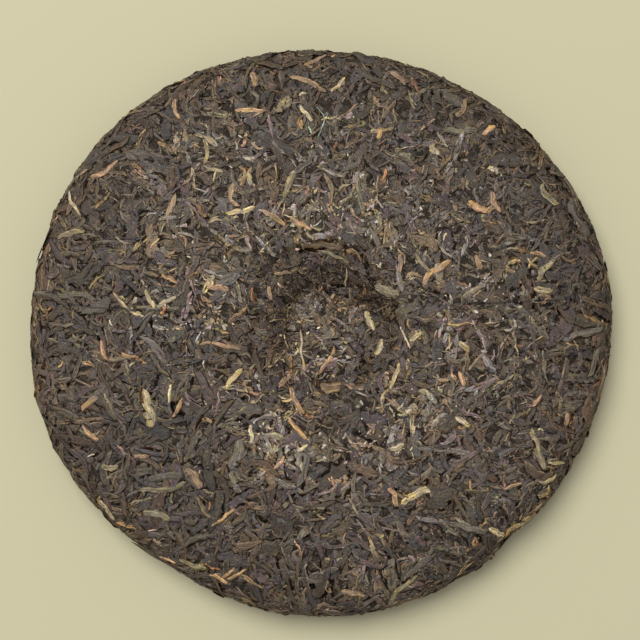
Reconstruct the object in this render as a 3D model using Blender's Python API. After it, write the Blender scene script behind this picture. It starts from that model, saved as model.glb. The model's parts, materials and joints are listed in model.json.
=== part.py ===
# Pressed tea cake, about 200 mm across, lying on its domed face with the knot hollow up.
# The cake is one solid: a pressed body with the larger leaf strands of its surface fused on.
# Units are metres, +Z is up, and the origin is the middle of the underside.

import math
import random

import bmesh
import bpy
from mathutils import Vector, noise

MM = 0.001

# Driving dimensions
CAKE_RADIUS = 100.0 * MM
HOLLOW_DEPTH = 10.5 * MM
LEAF_THICKNESS = 1.1 * MM
SEED = 357

# How far the outline is out of round: (waves round the rim, share of the radius, direction in degrees).
OUTLINE_WAVES = (
    (2, 0.0150, -14.0),
    (3, 0.0076, 78.0),
    (4, 0.0057, 77.0),
    (5, 0.0039, -57.0),
    (6, 0.0026, 117.0),
    (7, 0.0019, 26.0),
)
# A small chip in the rim: (direction in degrees, half width in degrees, depth).
RIM_CHIP = (-47.0, 4.5, 1.4 * MM)

# Half section from the middle of the upper face, over the rim, to the middle of the underside:
# (distance from the axis, height), both in metres at the mean radius.
SECTION = (
    (0.0, 23.4 * MM),
    (18.0 * MM, 23.4 * MM),
    (46.0 * MM, 23.2 * MM),
    (64.0 * MM, 22.3 * MM),
    (80.0 * MM, 20.5 * MM),
    (91.0 * MM, 18.2 * MM),
    (97.6 * MM, 15.0 * MM),
    (100.0 * MM, 11.2 * MM),
    (98.6 * MM, 7.8 * MM),
    (94.0 * MM, 5.3 * MM),
    (84.0 * MM, 3.2 * MM),
    (70.0 * MM, 1.5 * MM),
    (56.0 * MM, 0.4 * MM),
    (46.0 * MM, 0.0),
    (0.0, 0.0),
)
FOOT_RADIUS = 46.0 * MM

# The hollow that the knot of the pressing cloth leaves: a mouth, and a floor that sits off its centre.
HOLLOW_MOUTH = (1.2 * MM, 3.6 * MM, 27.5 * MM)
HOLLOW_FLOOR = (5.0 * MM, -2.5 * MM, 12.5 * MM)
LEDGE_DIRECTION = math.radians(115.0)

# Shallow creases that the folds of the cloth press outwards from the hollow:
# (direction in degrees, start, end, depth).
CLOTH_CREASES = (
    (6.0, 34.0 * MM, 96.0 * MM, 0.9 * MM),
    (174.0, 30.0 * MM, 92.0 * MM, 0.6 * MM),
    (-24.0, 36.0 * MM, 84.0 * MM, 0.6 * MM),
    (68.0, 34.0 * MM, 70.0 * MM, 0.5 * MM),
    (128.0, 36.0 * MM, 78.0 * MM, 0.5 * MM),
    (236.0, 36.0 * MM, 80.0 * MM, 0.5 * MM),
)
CREASE_WIDTH = 2.6 * MM

SECTION_STEPS = 12
BODY_SIDES = 48
RIM_RINGS = 3
# Radii of the body's rings as shares of the mean radius: close together in the hollow.
UPPER_RINGS = (0.05, 0.10, 0.15, 0.20, 0.25, 0.30, 0.38, 0.49, 0.60, 0.71, 0.81, 0.89, 0.95)
UNDER_RINGS = (0.955, 0.86, 0.73, 0.60, 0.46)


def smooth(share):
    """Eases from 0 to 1 as share goes from 0 to 1."""
    share = min(1.0, max(0.0, share))
    return share * share * (3.0 - 2.0 * share)


def curve_point(before, start, end, after, share):
    """A point of the Catmull-Rom curve between start and end."""
    square = share * share
    cube = square * share
    return (
        start * 2.0
        + (end - before) * share
        + (before * 2.0 - start * 5.0 + end * 4.0 - after) * square
        + (start * 3.0 - before - end * 3.0 + after) * cube
    ) * 0.5


def trace_section():
    """The half section as [(arc length from the upper middle, radius, height)]."""
    corners = [Vector(point) for point in SECTION]
    last = len(corners) - 1
    points = [corners[0]]
    for i in range(last):
        before = corners[max(i - 1, 0)]
        after = corners[min(i + 2, last)]
        for step in range(1, SECTION_STEPS + 1):
            share = step / SECTION_STEPS
            points.append(curve_point(before, corners[i], corners[i + 1], after, share))
    traced = []
    arc = 0.0
    for i, point in enumerate(points):
        if i:
            arc += (point - points[i - 1]).length
        traced.append((arc, max(point.x, 0.0), max(point.y, 0.0)))
    return traced


TRACE = trace_section()
ARC_END = TRACE[-1][0]
ARC_RIM = max(TRACE, key=lambda row: row[1])[0]


def section_at(arc):
    """(radius, height) of the section at this arc length."""
    arc = min(max(arc, 0.0), ARC_END)
    low, high = 0, len(TRACE) - 1
    while high - low > 1:
        middle = (low + high) // 2
        if TRACE[middle][0] <= arc:
            low = middle
        else:
            high = middle
    start, end = TRACE[low], TRACE[high]
    share = (arc - start[0]) / max(end[0] - start[0], 1e-12)
    return start[1] + (end[1] - start[1]) * share, start[2] + (end[2] - start[2]) * share


def outline_share(angle):
    """The outline's radius in this direction, beside the mean radius."""
    waves = (size * math.cos(count * angle - math.radians(way)) for count, size, way in OUTLINE_WAVES)
    way, half_width, depth = RIM_CHIP
    beside = math.remainder(angle - math.radians(way), 2.0 * math.pi) / math.radians(half_width)
    return 1.0 + sum(waves) - depth / CAKE_RADIUS * math.exp(-beside * beside)


def hollow_at(x, y):
    """How deep the knot hollow is at this place."""
    mouth_x, mouth_y, mouth_radius = HOLLOW_MOUTH
    floor_x, floor_y, floor_radius = HOLLOW_FLOOR
    angle = math.atan2(y - mouth_y, x - mouth_x)
    mouth_radius *= 1.0 + 0.05 * math.cos(3.0 * angle + 0.6) + 0.03 * math.cos(5.0 * angle)
    inside_mouth = mouth_radius - math.hypot(x - mouth_x, y - mouth_y)
    if inside_mouth <= 0.0:
        return 0.0
    outside_floor = max(math.hypot(x - floor_x, y - floor_y) - floor_radius, 0.0)
    share = inside_mouth / (inside_mouth + outside_floor)
    plain = smooth(share)
    # On the upper left the cloth's knot leaves a ledge high up on the wall.
    stepped = 0.28 * smooth(share / 0.18) + 0.72 * smooth((share - 0.34) / 0.56)
    towards_ledge = smooth(0.5 + 0.9 * math.cos(angle - LEDGE_DIRECTION))
    return HOLLOW_DEPTH * (plain + (stepped - plain) * towards_ledge)


def crease_at(x, y):
    """How deep the cloth's creases are at this place."""
    depth = 0.0
    for way, start, end, deepest in CLOTH_CREASES:
        along_x, along_y = math.cos(math.radians(way)), math.sin(math.radians(way))
        along = x * along_x + y * along_y
        if start < along < end:
            bend = 1.8 * MM * math.sin(along * 0.07 / MM + way)
            across = (y * along_x - x * along_y - bend) / CREASE_WIDTH
            fade = smooth((along - start) / (12.0 * MM)) * smooth((end - along) / (14.0 * MM))
            depth += deepest * fade * math.exp(-across * across)
    return depth


def relief_at(x, y, upper):
    """The slow unevenness of the pressed face: it dies away on the foot, which stays flat."""
    place = Vector((x, y, 0.05 if upper else -0.05))
    slow = 0.5 * MM * noise.noise(place * 28.0) + 0.4 * MM * noise.noise(place * 75.0)
    if upper:
        return slow
    return slow * smooth((math.hypot(x, y) - FOOT_RADIUS) / (20.0 * MM))


def surface_at(arc, angle):
    """The cake's surface at this arc length from the upper middle, in this direction."""
    radius, height = section_at(arc)
    radius *= 1.0 + (outline_share(angle) - 1.0) * smooth(radius / FOOT_RADIUS)
    x, y = radius * math.cos(angle), radius * math.sin(angle)
    if arc < ARC_RIM:
        fade = smooth((ARC_RIM - arc) / (10.0 * MM))
        height += fade * relief_at(x, y, True) - hollow_at(x, y) - fade * crease_at(x, y)
    elif height > 0.0:
        height = max(height + smooth(height / (3.0 * MM)) * relief_at(x, y, False), 0.0)
    return Vector((x, y, height))


def arc_of(radius_share, upper):
    """The arc length whose radius is this share of the mean radius, on the upper or the lower face."""
    wanted = radius_share * CAKE_RADIUS
    low, high = (0.0, ARC_RIM) if upper else (ARC_RIM, ARC_END)
    for _ in range(40):
        middle = 0.5 * (low + high)
        too_wide = section_at(middle)[0] > wanted
        if too_wide == upper:
            high = middle
        else:
            low = middle
    return 0.5 * (low + high)


def chart_point(x, y, lift, upper):
    """A point of a flat chart of one face, laid on the cake and raised by lift along its normal."""
    reach, angle = math.hypot(x, y), math.atan2(y, x)
    arc = reach if upper else ARC_END - reach
    step = 0.4 * MM
    place = surface_at(arc, angle)
    inward = surface_at(arc - step, angle) if arc > step else surface_at(arc + step, angle + math.pi)
    outward = surface_at(arc + step, angle)
    turn = step / max(reach, 3.0 * MM)
    sideways = surface_at(arc, angle + turn) - surface_at(arc, angle - turn)
    normal = (outward - inward).cross(sideways)
    if normal.length < 1e-12:
        normal = Vector((0.0, 0.0, 1.0 if upper else -1.0))
    normal.normalize()
    if normal.z * (1.0 if upper else -1.0) < -0.5:
        normal.negate()
    raised = place + normal * lift
    # Nothing reaches down to the plane that the foot rests on.
    raised.z = max(raised.z, 0.15 * MM + 0.1 * max(place.z, 0.0))
    return raised


def leaf_material():
    """Dark, dry pressed leaf with a faint sheen."""
    material = bpy.data.materials.new("pressed_leaf")
    material.use_nodes = True
    shader = material.node_tree.nodes["Principled BSDF"]
    shader.inputs["Base Color"].default_value = (0.095, 0.072, 0.054, 1.0)
    shader.inputs["Roughness"].default_value = 0.6
    shader.inputs["Metallic"].default_value = 0.0
    return material


def ring_arcs():
    """Arc lengths of the body's rings, close together where the section bends."""
    upper = [arc_of(share, True) for share in UPPER_RINGS]
    under = [arc_of(share, False) for share in UNDER_RINGS]
    step = (under[0] - upper[-1]) / (RIM_RINGS + 1)
    rim = [upper[-1] + step * (i + 1) for i in range(RIM_RINGS)]
    return upper + rim + under


def body_mesh():
    """The pressed body: rings of points joined by faces, closed by a fan at the top and a flat foot."""
    shape = bmesh.new()
    rings = []
    for arc in ring_arcs():
        ring = []
        for i in range(BODY_SIDES):
            angle = 2.0 * math.pi * i / BODY_SIDES
            ring.append(shape.verts.new(surface_at(arc, angle)))
        rings.append(ring)
    top = shape.verts.new(surface_at(0.0, 0.0))
    for i in range(BODY_SIDES):
        after = (i + 1) % BODY_SIDES
        shape.faces.new((top, rings[0][i], rings[0][after]))
        for inner, outer in zip(rings, rings[1:]):
            shape.faces.new((inner[i], outer[i], outer[after], inner[after]))
    shape.faces.new(list(reversed(rings[-1])))
    bmesh.ops.recalc_face_normals(shape, faces=shape.faces)
    bmesh.ops.triangulate(shape, faces=[face for face in shape.faces if len(face.verts) < 5])
    mesh = bpy.data.meshes.new("tea_cake")
    shape.to_mesh(mesh)
    shape.free()
    return mesh


# Cross-section of a strand, from its left edge over the top to its keel, which is sunk in the body:
# (share of the half width, share of the thickness).
STRAND_SECTION = ((-1.0, -0.25), (-0.35, 0.95), (0.45, 0.8), (1.0, -0.25), (0.0, -1.7))
# Stations along a strand: (share of its length, share of its width).
STRAND_STATIONS = ((0.22, 0.8), (0.5, 1.0), (0.78, 0.72))


def strand_object(name, place, way, length, width, bend, upper):
    """One leaf strand: a slim wavy solid, pointed at both ends, bedded in the cake's face."""
    shape = bmesh.new()
    across_x, across_y = -math.sin(way), math.cos(way)
    # The press leaves the strands of the rim lower than those of the faces.
    rimward = smooth((math.hypot(*place) - 0.80 * CAKE_RADIUS) / (0.2 * CAKE_RADIUS))
    thickness = LEAF_THICKNESS * (1.0 - 0.45 * rimward)

    def laid(along, across, lift):
        sway = bend * (4.0 * (along - 0.5) ** 2 - 0.5)
        forward = (along - 0.5) * length
        x = place[0] + forward * math.cos(way) + (across + sway) * across_x
        y = place[1] + forward * math.sin(way) + (across + sway) * across_y
        return shape.verts.new(chart_point(x, y, lift, upper))

    tail = laid(0.0, 0.0, -0.3 * thickness)
    rings = []
    for along, share in STRAND_STATIONS:
        wave = 1.0 + 0.25 * math.sin(9.0 * along + place[0] * 900.0)
        rings.append(
            [laid(along, 0.5 * width * share * side, thickness * up * wave) for side, up in STRAND_SECTION]
        )
    tip = laid(1.0, 0.0, -0.3 * thickness)
    count = len(STRAND_SECTION)
    for i in range(count):
        after = (i + 1) % count
        shape.faces.new((tail, rings[0][i], rings[0][after]))
        shape.faces.new((tip, rings[-1][after], rings[-1][i]))
        for first, second in zip(rings, rings[1:]):
            shape.faces.new((first[i], second[i], second[after], first[after]))
    bmesh.ops.triangulate(shape, faces=shape.faces)
    bmesh.ops.recalc_face_normals(shape, faces=shape.faces)
    mesh = bpy.data.meshes.new(name)
    shape.to_mesh(mesh)
    shape.free()
    return bpy.data.objects.new(name, mesh)


def face_strands(draw, count, inner, outer, upper):
    """Places for strands spread evenly over one face: a golden-angle spiral, a little disturbed."""
    golden = math.pi * (3.0 - math.sqrt(5.0))
    for i in range(count):
        share = (i + 0.5) / count
        reach = math.sqrt(inner**2 + (outer**2 - inner**2) * share)
        reach += draw.uniform(-2.0, 2.0) * MM
        angle = i * golden + draw.uniform(-0.05, 0.05)
        place = (reach * math.cos(angle), reach * math.sin(angle))
        # Strands near the rim lie along it, and elsewhere they lie any way.
        rimward = smooth((reach - 0.72 * CAKE_RADIUS) / (0.25 * CAKE_RADIUS))
        spread = math.radians(90.0 - 62.0 * rimward)
        way = angle + 0.5 * math.pi + draw.uniform(-spread, spread)
        broad = i % 6 == 2
        length = draw.uniform(12.0, 17.0) * MM if broad else draw.uniform(13.0, 25.0) * MM
        width = length * (draw.uniform(0.38, 0.5) if broad else draw.uniform(0.15, 0.24))
        bend = length * draw.uniform(-0.12, 0.12)
        yield place, way, length, width, bend, upper


def rim_strands(draw, count):
    """Places for the strands that lie along the side of the rim, curved with it."""
    for i in range(count):
        angle = 2.0 * math.pi * (i + draw.uniform(-0.25, 0.25)) / count
        reach = ARC_RIM + draw.uniform(-4.0, 4.0) * MM
        place = (reach * math.cos(angle), reach * math.sin(angle))
        way = angle + 0.5 * math.pi + math.radians(draw.uniform(-10.0, 10.0))
        length = draw.uniform(12.0, 19.0) * MM
        width = draw.uniform(2.8, 4.2) * MM
        # A chord of the rim would leave it by this much, so the strand bends with it.
        sagitta = length * length / (8.0 * reach)
        yield place, way, length, width, sagitta, True


UPPER_STRANDS = 84
UNDER_STRANDS = 34
RIM_STRANDS = 26


def build_cake():
    """Makes the body, fuses the strands on with one Boolean union, and removes their objects."""
    draw = random.Random(SEED)
    cake = bpy.data.objects.new("tea_cake", body_mesh())
    bpy.context.scene.collection.objects.link(cake)
    cake.data.materials.append(leaf_material())

    strands = bpy.data.collections.new("strands")
    bpy.context.scene.collection.children.link(strands)
    outer = arc_of(0.93, True)
    places = list(face_strands(draw, UPPER_STRANDS, 6.0 * MM, outer, True))
    under_outer = ARC_END - arc_of(0.93, False)
    places += face_strands(draw, UNDER_STRANDS, FOOT_RADIUS + 26.0 * MM, under_outer, False)
    places += rim_strands(draw, RIM_STRANDS)
    for i, (place, way, length, width, bend, upper) in enumerate(places):
        strand = strand_object(f"strand_{i:03d}", place, way, length, width, bend, upper)
        strands.objects.link(strand)

    # The exact solver leaves crossed strands that only touch along an edge; this one fuses them.
    union = cake.modifiers.new("fuse strands", "BOOLEAN")
    union.operation = "UNION"
    union.operand_type = "COLLECTION"
    union.collection = strands
    union.solver = "MANIFOLD"
    bpy.context.view_layer.update()
    graph = bpy.context.evaluated_depsgraph_get()
    fused = bpy.data.meshes.new_from_object(cake.evaluated_get(graph))
    cake.modifiers.clear()
    cake.data = fused
    for strand in list(strands.objects):
        bpy.data.objects.remove(strand)
    bpy.data.collections.remove(strands)
    return cake


def keep_outer_shell(cake):
    """Fills sealed hollows and drops loose scraps: only the largest connected shell stays."""
    shape = bmesh.new()
    shape.from_mesh(cake.data)
    unseen = set(shape.verts)
    shells = []
    while unseen:
        front = [unseen.pop()]
        shell = list(front)
        while front:
            vertex = front.pop()
            for edge in vertex.link_edges:
                other = edge.other_vert(vertex)
                if other in unseen:
                    unseen.remove(other)
                    front.append(other)
                    shell.append(other)
        shells.append(shell)
    shells.sort(key=len)
    extra = [vertex for shell in shells[:-1] for vertex in shell]
    bmesh.ops.delete(shape, geom=extra, context="VERTS")
    shape.to_mesh(cake.data)
    shape.free()
    print("shells", len(shells), "dropped vertices", len(extra))


def centre_on_foot(cake):
    """Moves the mesh so that the origin is under the middle of the cake's own box."""
    xs = [vertex.co.x for vertex in cake.data.vertices]
    ys = [vertex.co.y for vertex in cake.data.vertices]
    middle = Vector((0.5 * (min(xs) + max(xs)), 0.5 * (min(ys) + max(ys)), 0.0))
    for vertex in cake.data.vertices:
        vertex.co -= middle
    cake.data.set_sharp_from_angle(angle=math.radians(40.0))
    print("faces", len(cake.data.polygons), "moved by", [round(v / MM, 3) for v in middle])


for old in list(bpy.data.objects):
    bpy.data.objects.remove(old)
tea_cake = build_cake()
keep_outer_shell(tea_cake)
centre_on_foot(tea_cake)
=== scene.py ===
# %% [markdown]
# # A pressed tea cake
# The real cake is a few hundred grams of dark leaf, steamed and pressed in a cloth bag. The bag's knot
# leaves a hollow in the back, which faces up here. What the eye reads is thousands of leaf strands,
# pressed flat over and under each other. So the cake is made in the way it was pressed: first its form,
# then layer on layer of leaves laid on a flat chart of that form, then everything is wrapped on it.

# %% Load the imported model, which fixes every place and size
import json
import math

import bmesh
import bpy
import numpy as np
from mathutils import Matrix, Vector, noise

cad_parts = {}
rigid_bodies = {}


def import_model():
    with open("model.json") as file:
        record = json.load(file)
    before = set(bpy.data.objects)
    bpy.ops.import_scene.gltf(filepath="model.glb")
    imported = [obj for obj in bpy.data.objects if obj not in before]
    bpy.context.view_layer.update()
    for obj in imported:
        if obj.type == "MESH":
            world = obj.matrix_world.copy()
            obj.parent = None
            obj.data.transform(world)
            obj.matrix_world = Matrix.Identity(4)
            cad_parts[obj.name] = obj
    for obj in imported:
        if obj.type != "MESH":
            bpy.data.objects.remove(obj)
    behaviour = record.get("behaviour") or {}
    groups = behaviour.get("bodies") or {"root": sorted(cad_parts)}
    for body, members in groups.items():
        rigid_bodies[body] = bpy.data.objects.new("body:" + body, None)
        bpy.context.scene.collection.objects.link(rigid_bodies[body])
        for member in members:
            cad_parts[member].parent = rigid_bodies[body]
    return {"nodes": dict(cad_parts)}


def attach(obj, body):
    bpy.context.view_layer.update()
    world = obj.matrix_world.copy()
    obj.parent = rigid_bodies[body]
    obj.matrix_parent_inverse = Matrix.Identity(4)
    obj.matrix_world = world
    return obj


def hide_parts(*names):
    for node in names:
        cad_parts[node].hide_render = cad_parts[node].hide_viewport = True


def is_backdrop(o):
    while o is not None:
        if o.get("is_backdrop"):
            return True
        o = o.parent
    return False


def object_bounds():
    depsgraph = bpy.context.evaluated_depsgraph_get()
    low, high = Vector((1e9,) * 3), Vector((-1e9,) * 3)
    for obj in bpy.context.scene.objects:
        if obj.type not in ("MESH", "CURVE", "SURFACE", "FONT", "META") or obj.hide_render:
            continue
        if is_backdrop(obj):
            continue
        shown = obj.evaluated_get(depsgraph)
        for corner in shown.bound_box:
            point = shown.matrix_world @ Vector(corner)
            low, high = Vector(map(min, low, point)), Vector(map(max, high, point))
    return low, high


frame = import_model()
CAD_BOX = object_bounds()
MM = 0.001
SEED = 357
print("packed box, mm:", [[round(v / MM, 1) for v in corner] for corner in CAD_BOX])

# %% [markdown]
# ## The form of the cake
# The form is a turned half section, made out of round by a few slow waves, with the knot's hollow
# pressed into the upper face. It repeats the rule of the solid, so that what is laid on it stays where
# the solid is. It works on whole arrays of points, because the charts below have many of them.

# %% The half section: a smooth curve through named corners, from the upper middle to the underside's
CAKE_RADIUS = 100.0 * MM
FOOT_RADIUS = 46.0 * MM
SECTION = np.array([
    (0.0, 23.4), (18.0, 23.4), (46.0, 23.2), (64.0, 22.3), (80.0, 20.5), (91.0, 18.2), (97.6, 15.0),
    (100.0, 11.2), (98.6, 7.8), (94.0, 5.3), (84.0, 3.2), (70.0, 1.5), (56.0, 0.4), (46.0, 0.0), (0.0, 0.0),
]) * MM
SECTION_STEPS = 24


def trace_section():
    """Rows of (arc length, radius, height) along a Catmull-Rom curve through the section's corners."""
    padded = np.vstack([SECTION[:1], SECTION, SECTION[-1:]])
    share = (np.arange(SECTION_STEPS) / SECTION_STEPS)[:, None]
    runs = []
    for before, start, end, after in zip(padded, padded[1:], padded[2:], padded[3:]):
        runs.append(0.5 * (
            2.0 * start
            + (end - before) * share
            + (2.0 * before - 5.0 * start + 4.0 * end - after) * share**2
            + (3.0 * start - before - 3.0 * end + after) * share**3
        ))
    points = np.maximum(np.vstack(runs + [SECTION[-1:]]), 0.0)
    steps = np.linalg.norm(np.diff(points, axis=0), axis=1)
    return np.column_stack([np.concatenate([[0.0], np.cumsum(steps)]), points])


TRACE = trace_section()
ARC_END = TRACE[-1, 0]
ARC_RIM = TRACE[np.argmax(TRACE[:, 1]), 0]
print(f"arc length over the section {ARC_END / MM:.1f} mm, to the widest line {ARC_RIM / MM:.1f} mm")

# %% Out-of-round outline, the chip in the rim, the hollow and the cloth's creases
OUTLINE_WAVES = (
    (2, 0.0150, -14.0), (3, 0.0076, 78.0), (4, 0.0057, 77.0), (5, 0.0039, -57.0),
    (6, 0.0026, 117.0), (7, 0.0019, 26.0),
)
RIM_CHIP = (-47.0, 4.5, 1.4 * MM)
HOLLOW_DEPTH = 10.5 * MM
HOLLOW_MOUTH = (1.2 * MM, 3.6 * MM, 27.5 * MM)
HOLLOW_FLOOR = (5.0 * MM, -2.5 * MM, 12.5 * MM)
LEDGE_DIRECTION = math.radians(115.0)
CLOTH_CREASES = (
    (6.0, 34.0 * MM, 96.0 * MM, 0.9 * MM),
    (174.0, 30.0 * MM, 92.0 * MM, 0.6 * MM),
    (-24.0, 36.0 * MM, 84.0 * MM, 0.6 * MM),
    (68.0, 34.0 * MM, 70.0 * MM, 0.5 * MM),
    (128.0, 36.0 * MM, 78.0 * MM, 0.5 * MM),
    (236.0, 36.0 * MM, 80.0 * MM, 0.5 * MM),
)
CREASE_WIDTH = 2.6 * MM


def smooth(share):
    """Eases from 0 to 1 as share goes from 0 to 1."""
    share = np.clip(share, 0.0, 1.0)
    return share * share * (3.0 - 2.0 * share)


def outline_share(angle):
    """The outline's radius in this direction, beside the mean radius."""
    share = 1.0 + sum(size * np.cos(n * angle - math.radians(way)) for n, size, way in OUTLINE_WAVES)
    way, half_width, depth = RIM_CHIP
    beside = np.angle(np.exp(1j * (angle - math.radians(way)))) / math.radians(half_width)
    return share - depth / CAKE_RADIUS * np.exp(-beside * beside)


def hollow_at(x, y):
    """How deep the knot's hollow is: a wall between a wide mouth and a floor that sits off its centre."""
    mouth_x, mouth_y, mouth_radius = HOLLOW_MOUTH
    floor_x, floor_y, floor_radius = HOLLOW_FLOOR
    angle = np.arctan2(y - mouth_y, x - mouth_x)
    mouth_radius = mouth_radius * (1.0 + 0.05 * np.cos(3.0 * angle + 0.6) + 0.03 * np.cos(5.0 * angle))
    inside_mouth = np.maximum(mouth_radius - np.hypot(x - mouth_x, y - mouth_y), 0.0)
    outside_floor = np.maximum(np.hypot(x - floor_x, y - floor_y) - floor_radius, 0.0)
    share = inside_mouth / np.maximum(inside_mouth + outside_floor, 1e-9)
    stepped = 0.28 * smooth(share / 0.18) + 0.72 * smooth((share - 0.34) / 0.56)
    towards_ledge = smooth(0.5 + 0.9 * np.cos(angle - LEDGE_DIRECTION))
    return HOLLOW_DEPTH * (smooth(share) + (stepped - smooth(share)) * towards_ledge)


def crease_at(x, y):
    """How deep the cloth's creases are."""
    depth = np.zeros_like(x)
    for way, start, end, deepest in CLOTH_CREASES:
        along_x, along_y = math.cos(math.radians(way)), math.sin(math.radians(way))
        along = x * along_x + y * along_y
        bend = 1.8 * MM * np.sin(along * 0.07 / MM + way)
        across = (y * along_x - x * along_y - bend) / CREASE_WIDTH
        fade = smooth((along - start) / (12.0 * MM)) * smooth((end - along) / (14.0 * MM))
        depth += deepest * fade * np.exp(-across * across)
    return depth


def relief_at(x, y, upper):
    """The slow unevenness of the pressed faces."""
    side = 0.05 if upper else -0.05
    places = (Vector((a, b, side)) for a, b in zip(x.ravel(), y.ravel()))
    slow = [0.5 * noise.noise(place * 28.0) + 0.4 * noise.noise(place * 75.0) for place in places]
    return np.array(slow).reshape(x.shape) * MM


# %% [markdown]
# The solid was moved a little so that its box is centred on the origin. Its flat foot is a ring of
# corners round the form's own axis, so the middle of that ring says where the axis is.

# %% The whole surface, as points and outward directions
foot = np.array([v.co for v in frame["nodes"]["tea_cake"].data.vertices])
foot = np.unique(np.round(foot[foot[:, 2] < 0.01 * MM], 7), axis=0)
AXIS_X, AXIS_Y = foot[:, 0].mean(), foot[:, 1].mean()
print(f"axis of the form at {AXIS_X / MM:.2f}, {AXIS_Y / MM:.2f} mm, from {len(foot)} foot corners")


def surface_at(arc, angle):
    """Points of the surface, for arrays of arc length from the upper middle and of direction."""
    radius = np.interp(arc, TRACE[:, 0], TRACE[:, 1])
    height = np.interp(arc, TRACE[:, 0], TRACE[:, 2])
    radius = radius * (1.0 + (outline_share(angle) - 1.0) * smooth(radius / FOOT_RADIUS))
    x, y = radius * np.cos(angle), radius * np.sin(angle)
    fade = smooth((ARC_RIM - arc) / (10.0 * MM))
    upper = height + fade * (relief_at(x, y, True) - crease_at(x, y)) - hollow_at(x, y)
    rise = smooth(height / (3.0 * MM)) * smooth((np.hypot(x, y) - FOOT_RADIUS) / (20.0 * MM))
    under = np.maximum(height + rise * relief_at(x, y, False), 0.0)
    height = np.where(arc < ARC_RIM, upper, under)
    return np.stack([x + AXIS_X, y + AXIS_Y, height], axis=-1)


# %% [markdown]
# ## Two flat charts
# A leaf is easy to lay on a flat sheet and hard to lay on a rim. So the upper face, with the rim, and
# the underside are each unrolled into a flat disc, in which the distance from the middle is the arc
# length on the cake. Every corner of a chart keeps its place on the cake and the outward direction
# there as attributes, so that anything laid on the chart can be carried over. The underside's chart is
# mirrored, or its leaves would come out inside out.

# %% Build a chart as a polar grid with the place and the facing of each corner
CHART_SIDES = 288
CHART_RINGS = 110
LAID_PAST_RIM = 9.0 * MM
OVERLAP = 5.0 * MM
UPPER_REACH = ARC_RIM + LAID_PAST_RIM
UNDER_REACH = ARC_END - ARC_RIM - LAID_PAST_RIM + OVERLAP
CHART_MARGIN = 18.0 * MM


def grid_faces(rings, sides):
    """Faces of a polar grid: a fan round corner 0, then rings of quads."""
    faces = [(0, 1 + i, 1 + (i + 1) % sides) for i in range(sides)]
    for ring in range(rings - 1):
        inner, outer = 1 + ring * sides, 1 + (ring + 1) * sides
        for i in range(sides):
            after = (i + 1) % sides
            faces.append((inner + i, outer + i, outer + after, inner + after))
    return faces


def face_points(reach, way, upper):
    """Points of the surface for this distance and direction on a chart."""
    return surface_at(reach if upper else ARC_END - reach, way if upper else -way)


def chart_arrays(reach_end, upper, rings, sides):
    """Flat corners, places on the cake and outward directions of a polar grid."""
    reach = np.concatenate([[0.0], np.repeat(reach_end * (np.arange(rings) + 1.0) / rings, sides)])
    way = np.concatenate([[0.0], np.tile(2.0 * math.pi * np.arange(sides) / sides, rings)])
    flat = np.stack([reach * np.cos(way), reach * np.sin(way), np.zeros_like(reach)], axis=-1)
    place = face_points(reach, way, upper)
    step = 0.5 * MM
    inner = face_points(np.maximum(reach - step, 0.0), way, upper)
    outer = face_points(reach + step, way, upper)
    turn = step / np.maximum(reach, 4.0 * MM)
    sideways = face_points(reach, way + turn, upper) - face_points(reach, way - turn, upper)
    facing = np.cross(outer - inner, sideways)
    facing[0] = (0.0, 0.0, 1.0 if upper else -1.0)
    facing /= np.linalg.norm(facing, axis=1, keepdims=True)
    return flat, place, facing


def mesh_from(name, points, faces):
    """A mesh from arrays of corners and faces."""
    mesh = bpy.data.meshes.new(name)
    mesh.from_pydata(np.asarray(points).tolist(), [], faces)
    return mesh


def set_attribute(mesh, name, values):
    """Stores a number or a vector at each corner of a mesh."""
    vector = values.ndim == 2
    attribute = mesh.attributes.new(name, "FLOAT_VECTOR" if vector else "FLOAT", "POINT")
    attribute.data.foreach_set("vector" if vector else "value", values.astype(np.float32).ravel())


print(f"charts reach {UPPER_REACH / MM:.1f} mm over the upper face and {UNDER_REACH / MM:.1f} mm under it")

# %% [markdown]
# The cake isn't the same all over. Its leaves lie loose and coarse towards one side and tight elsewhere,
# their tones are paler or darker from place to place, the knot tore the hollow's wall up, and the rim is
# browner. So each chart also holds shares from 0 to 1 for these regions, which the layers and the
# finishes read.

# %% Regions of the cake
LOOSE_DIRECTION = math.radians(238.0)
LOOSE_SIDE = 1.15
LOOSE_DRIFT = 0.5
PALE_RADII = (0.0, 12.0, 17.0, 24.0, 31.0, 42.0, 60.0, 80.0, 100.0)
PALE_BY_RADIUS = (0.3, 0.28, 0.08, -0.1, -0.02, 0.18, 0.05, -0.08, -0.02)
PALE_DRIFT = 0.28
DARK_SIDE = 0.16
DARK_RIM = 0.34
DARK_RIM_DIRECTION = math.radians(68.0)
LEAST_TORN = 0.35
UPPER_FACE_FROM = 8.0 * MM


def from_axis(place):
    """The x and the y of places, from the form's axis."""
    return place[:, 0] - AXIS_X, place[:, 1] - AXIS_Y


def towards(x, y, direction):
    """From 0 on the far side of the axis to 1 in this direction."""
    return 0.5 + 0.5 * np.cos(np.arctan2(y, x) - direction)


def drift_at(x, y, level, waves):
    """A slow random number at each place, with this many waves in a metre."""
    return np.array([noise.noise(Vector((a, b, level)) * waves) for a, b in zip(x, y)])


def looseness_at(place):
    """How loosely the leaves lie, from 0 to 1: mostly towards one side, in drifts."""
    x, y = from_axis(place)
    off_middle = smooth((np.hypot(x, y) - 30.0 * MM) / (35.0 * MM))
    loose_side = LOOSE_SIDE * towards(x, y, LOOSE_DIRECTION)**2 * off_middle
    return smooth(loose_side + LOOSE_DRIFT * drift_at(x, y, 0.3, 45.0))


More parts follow.
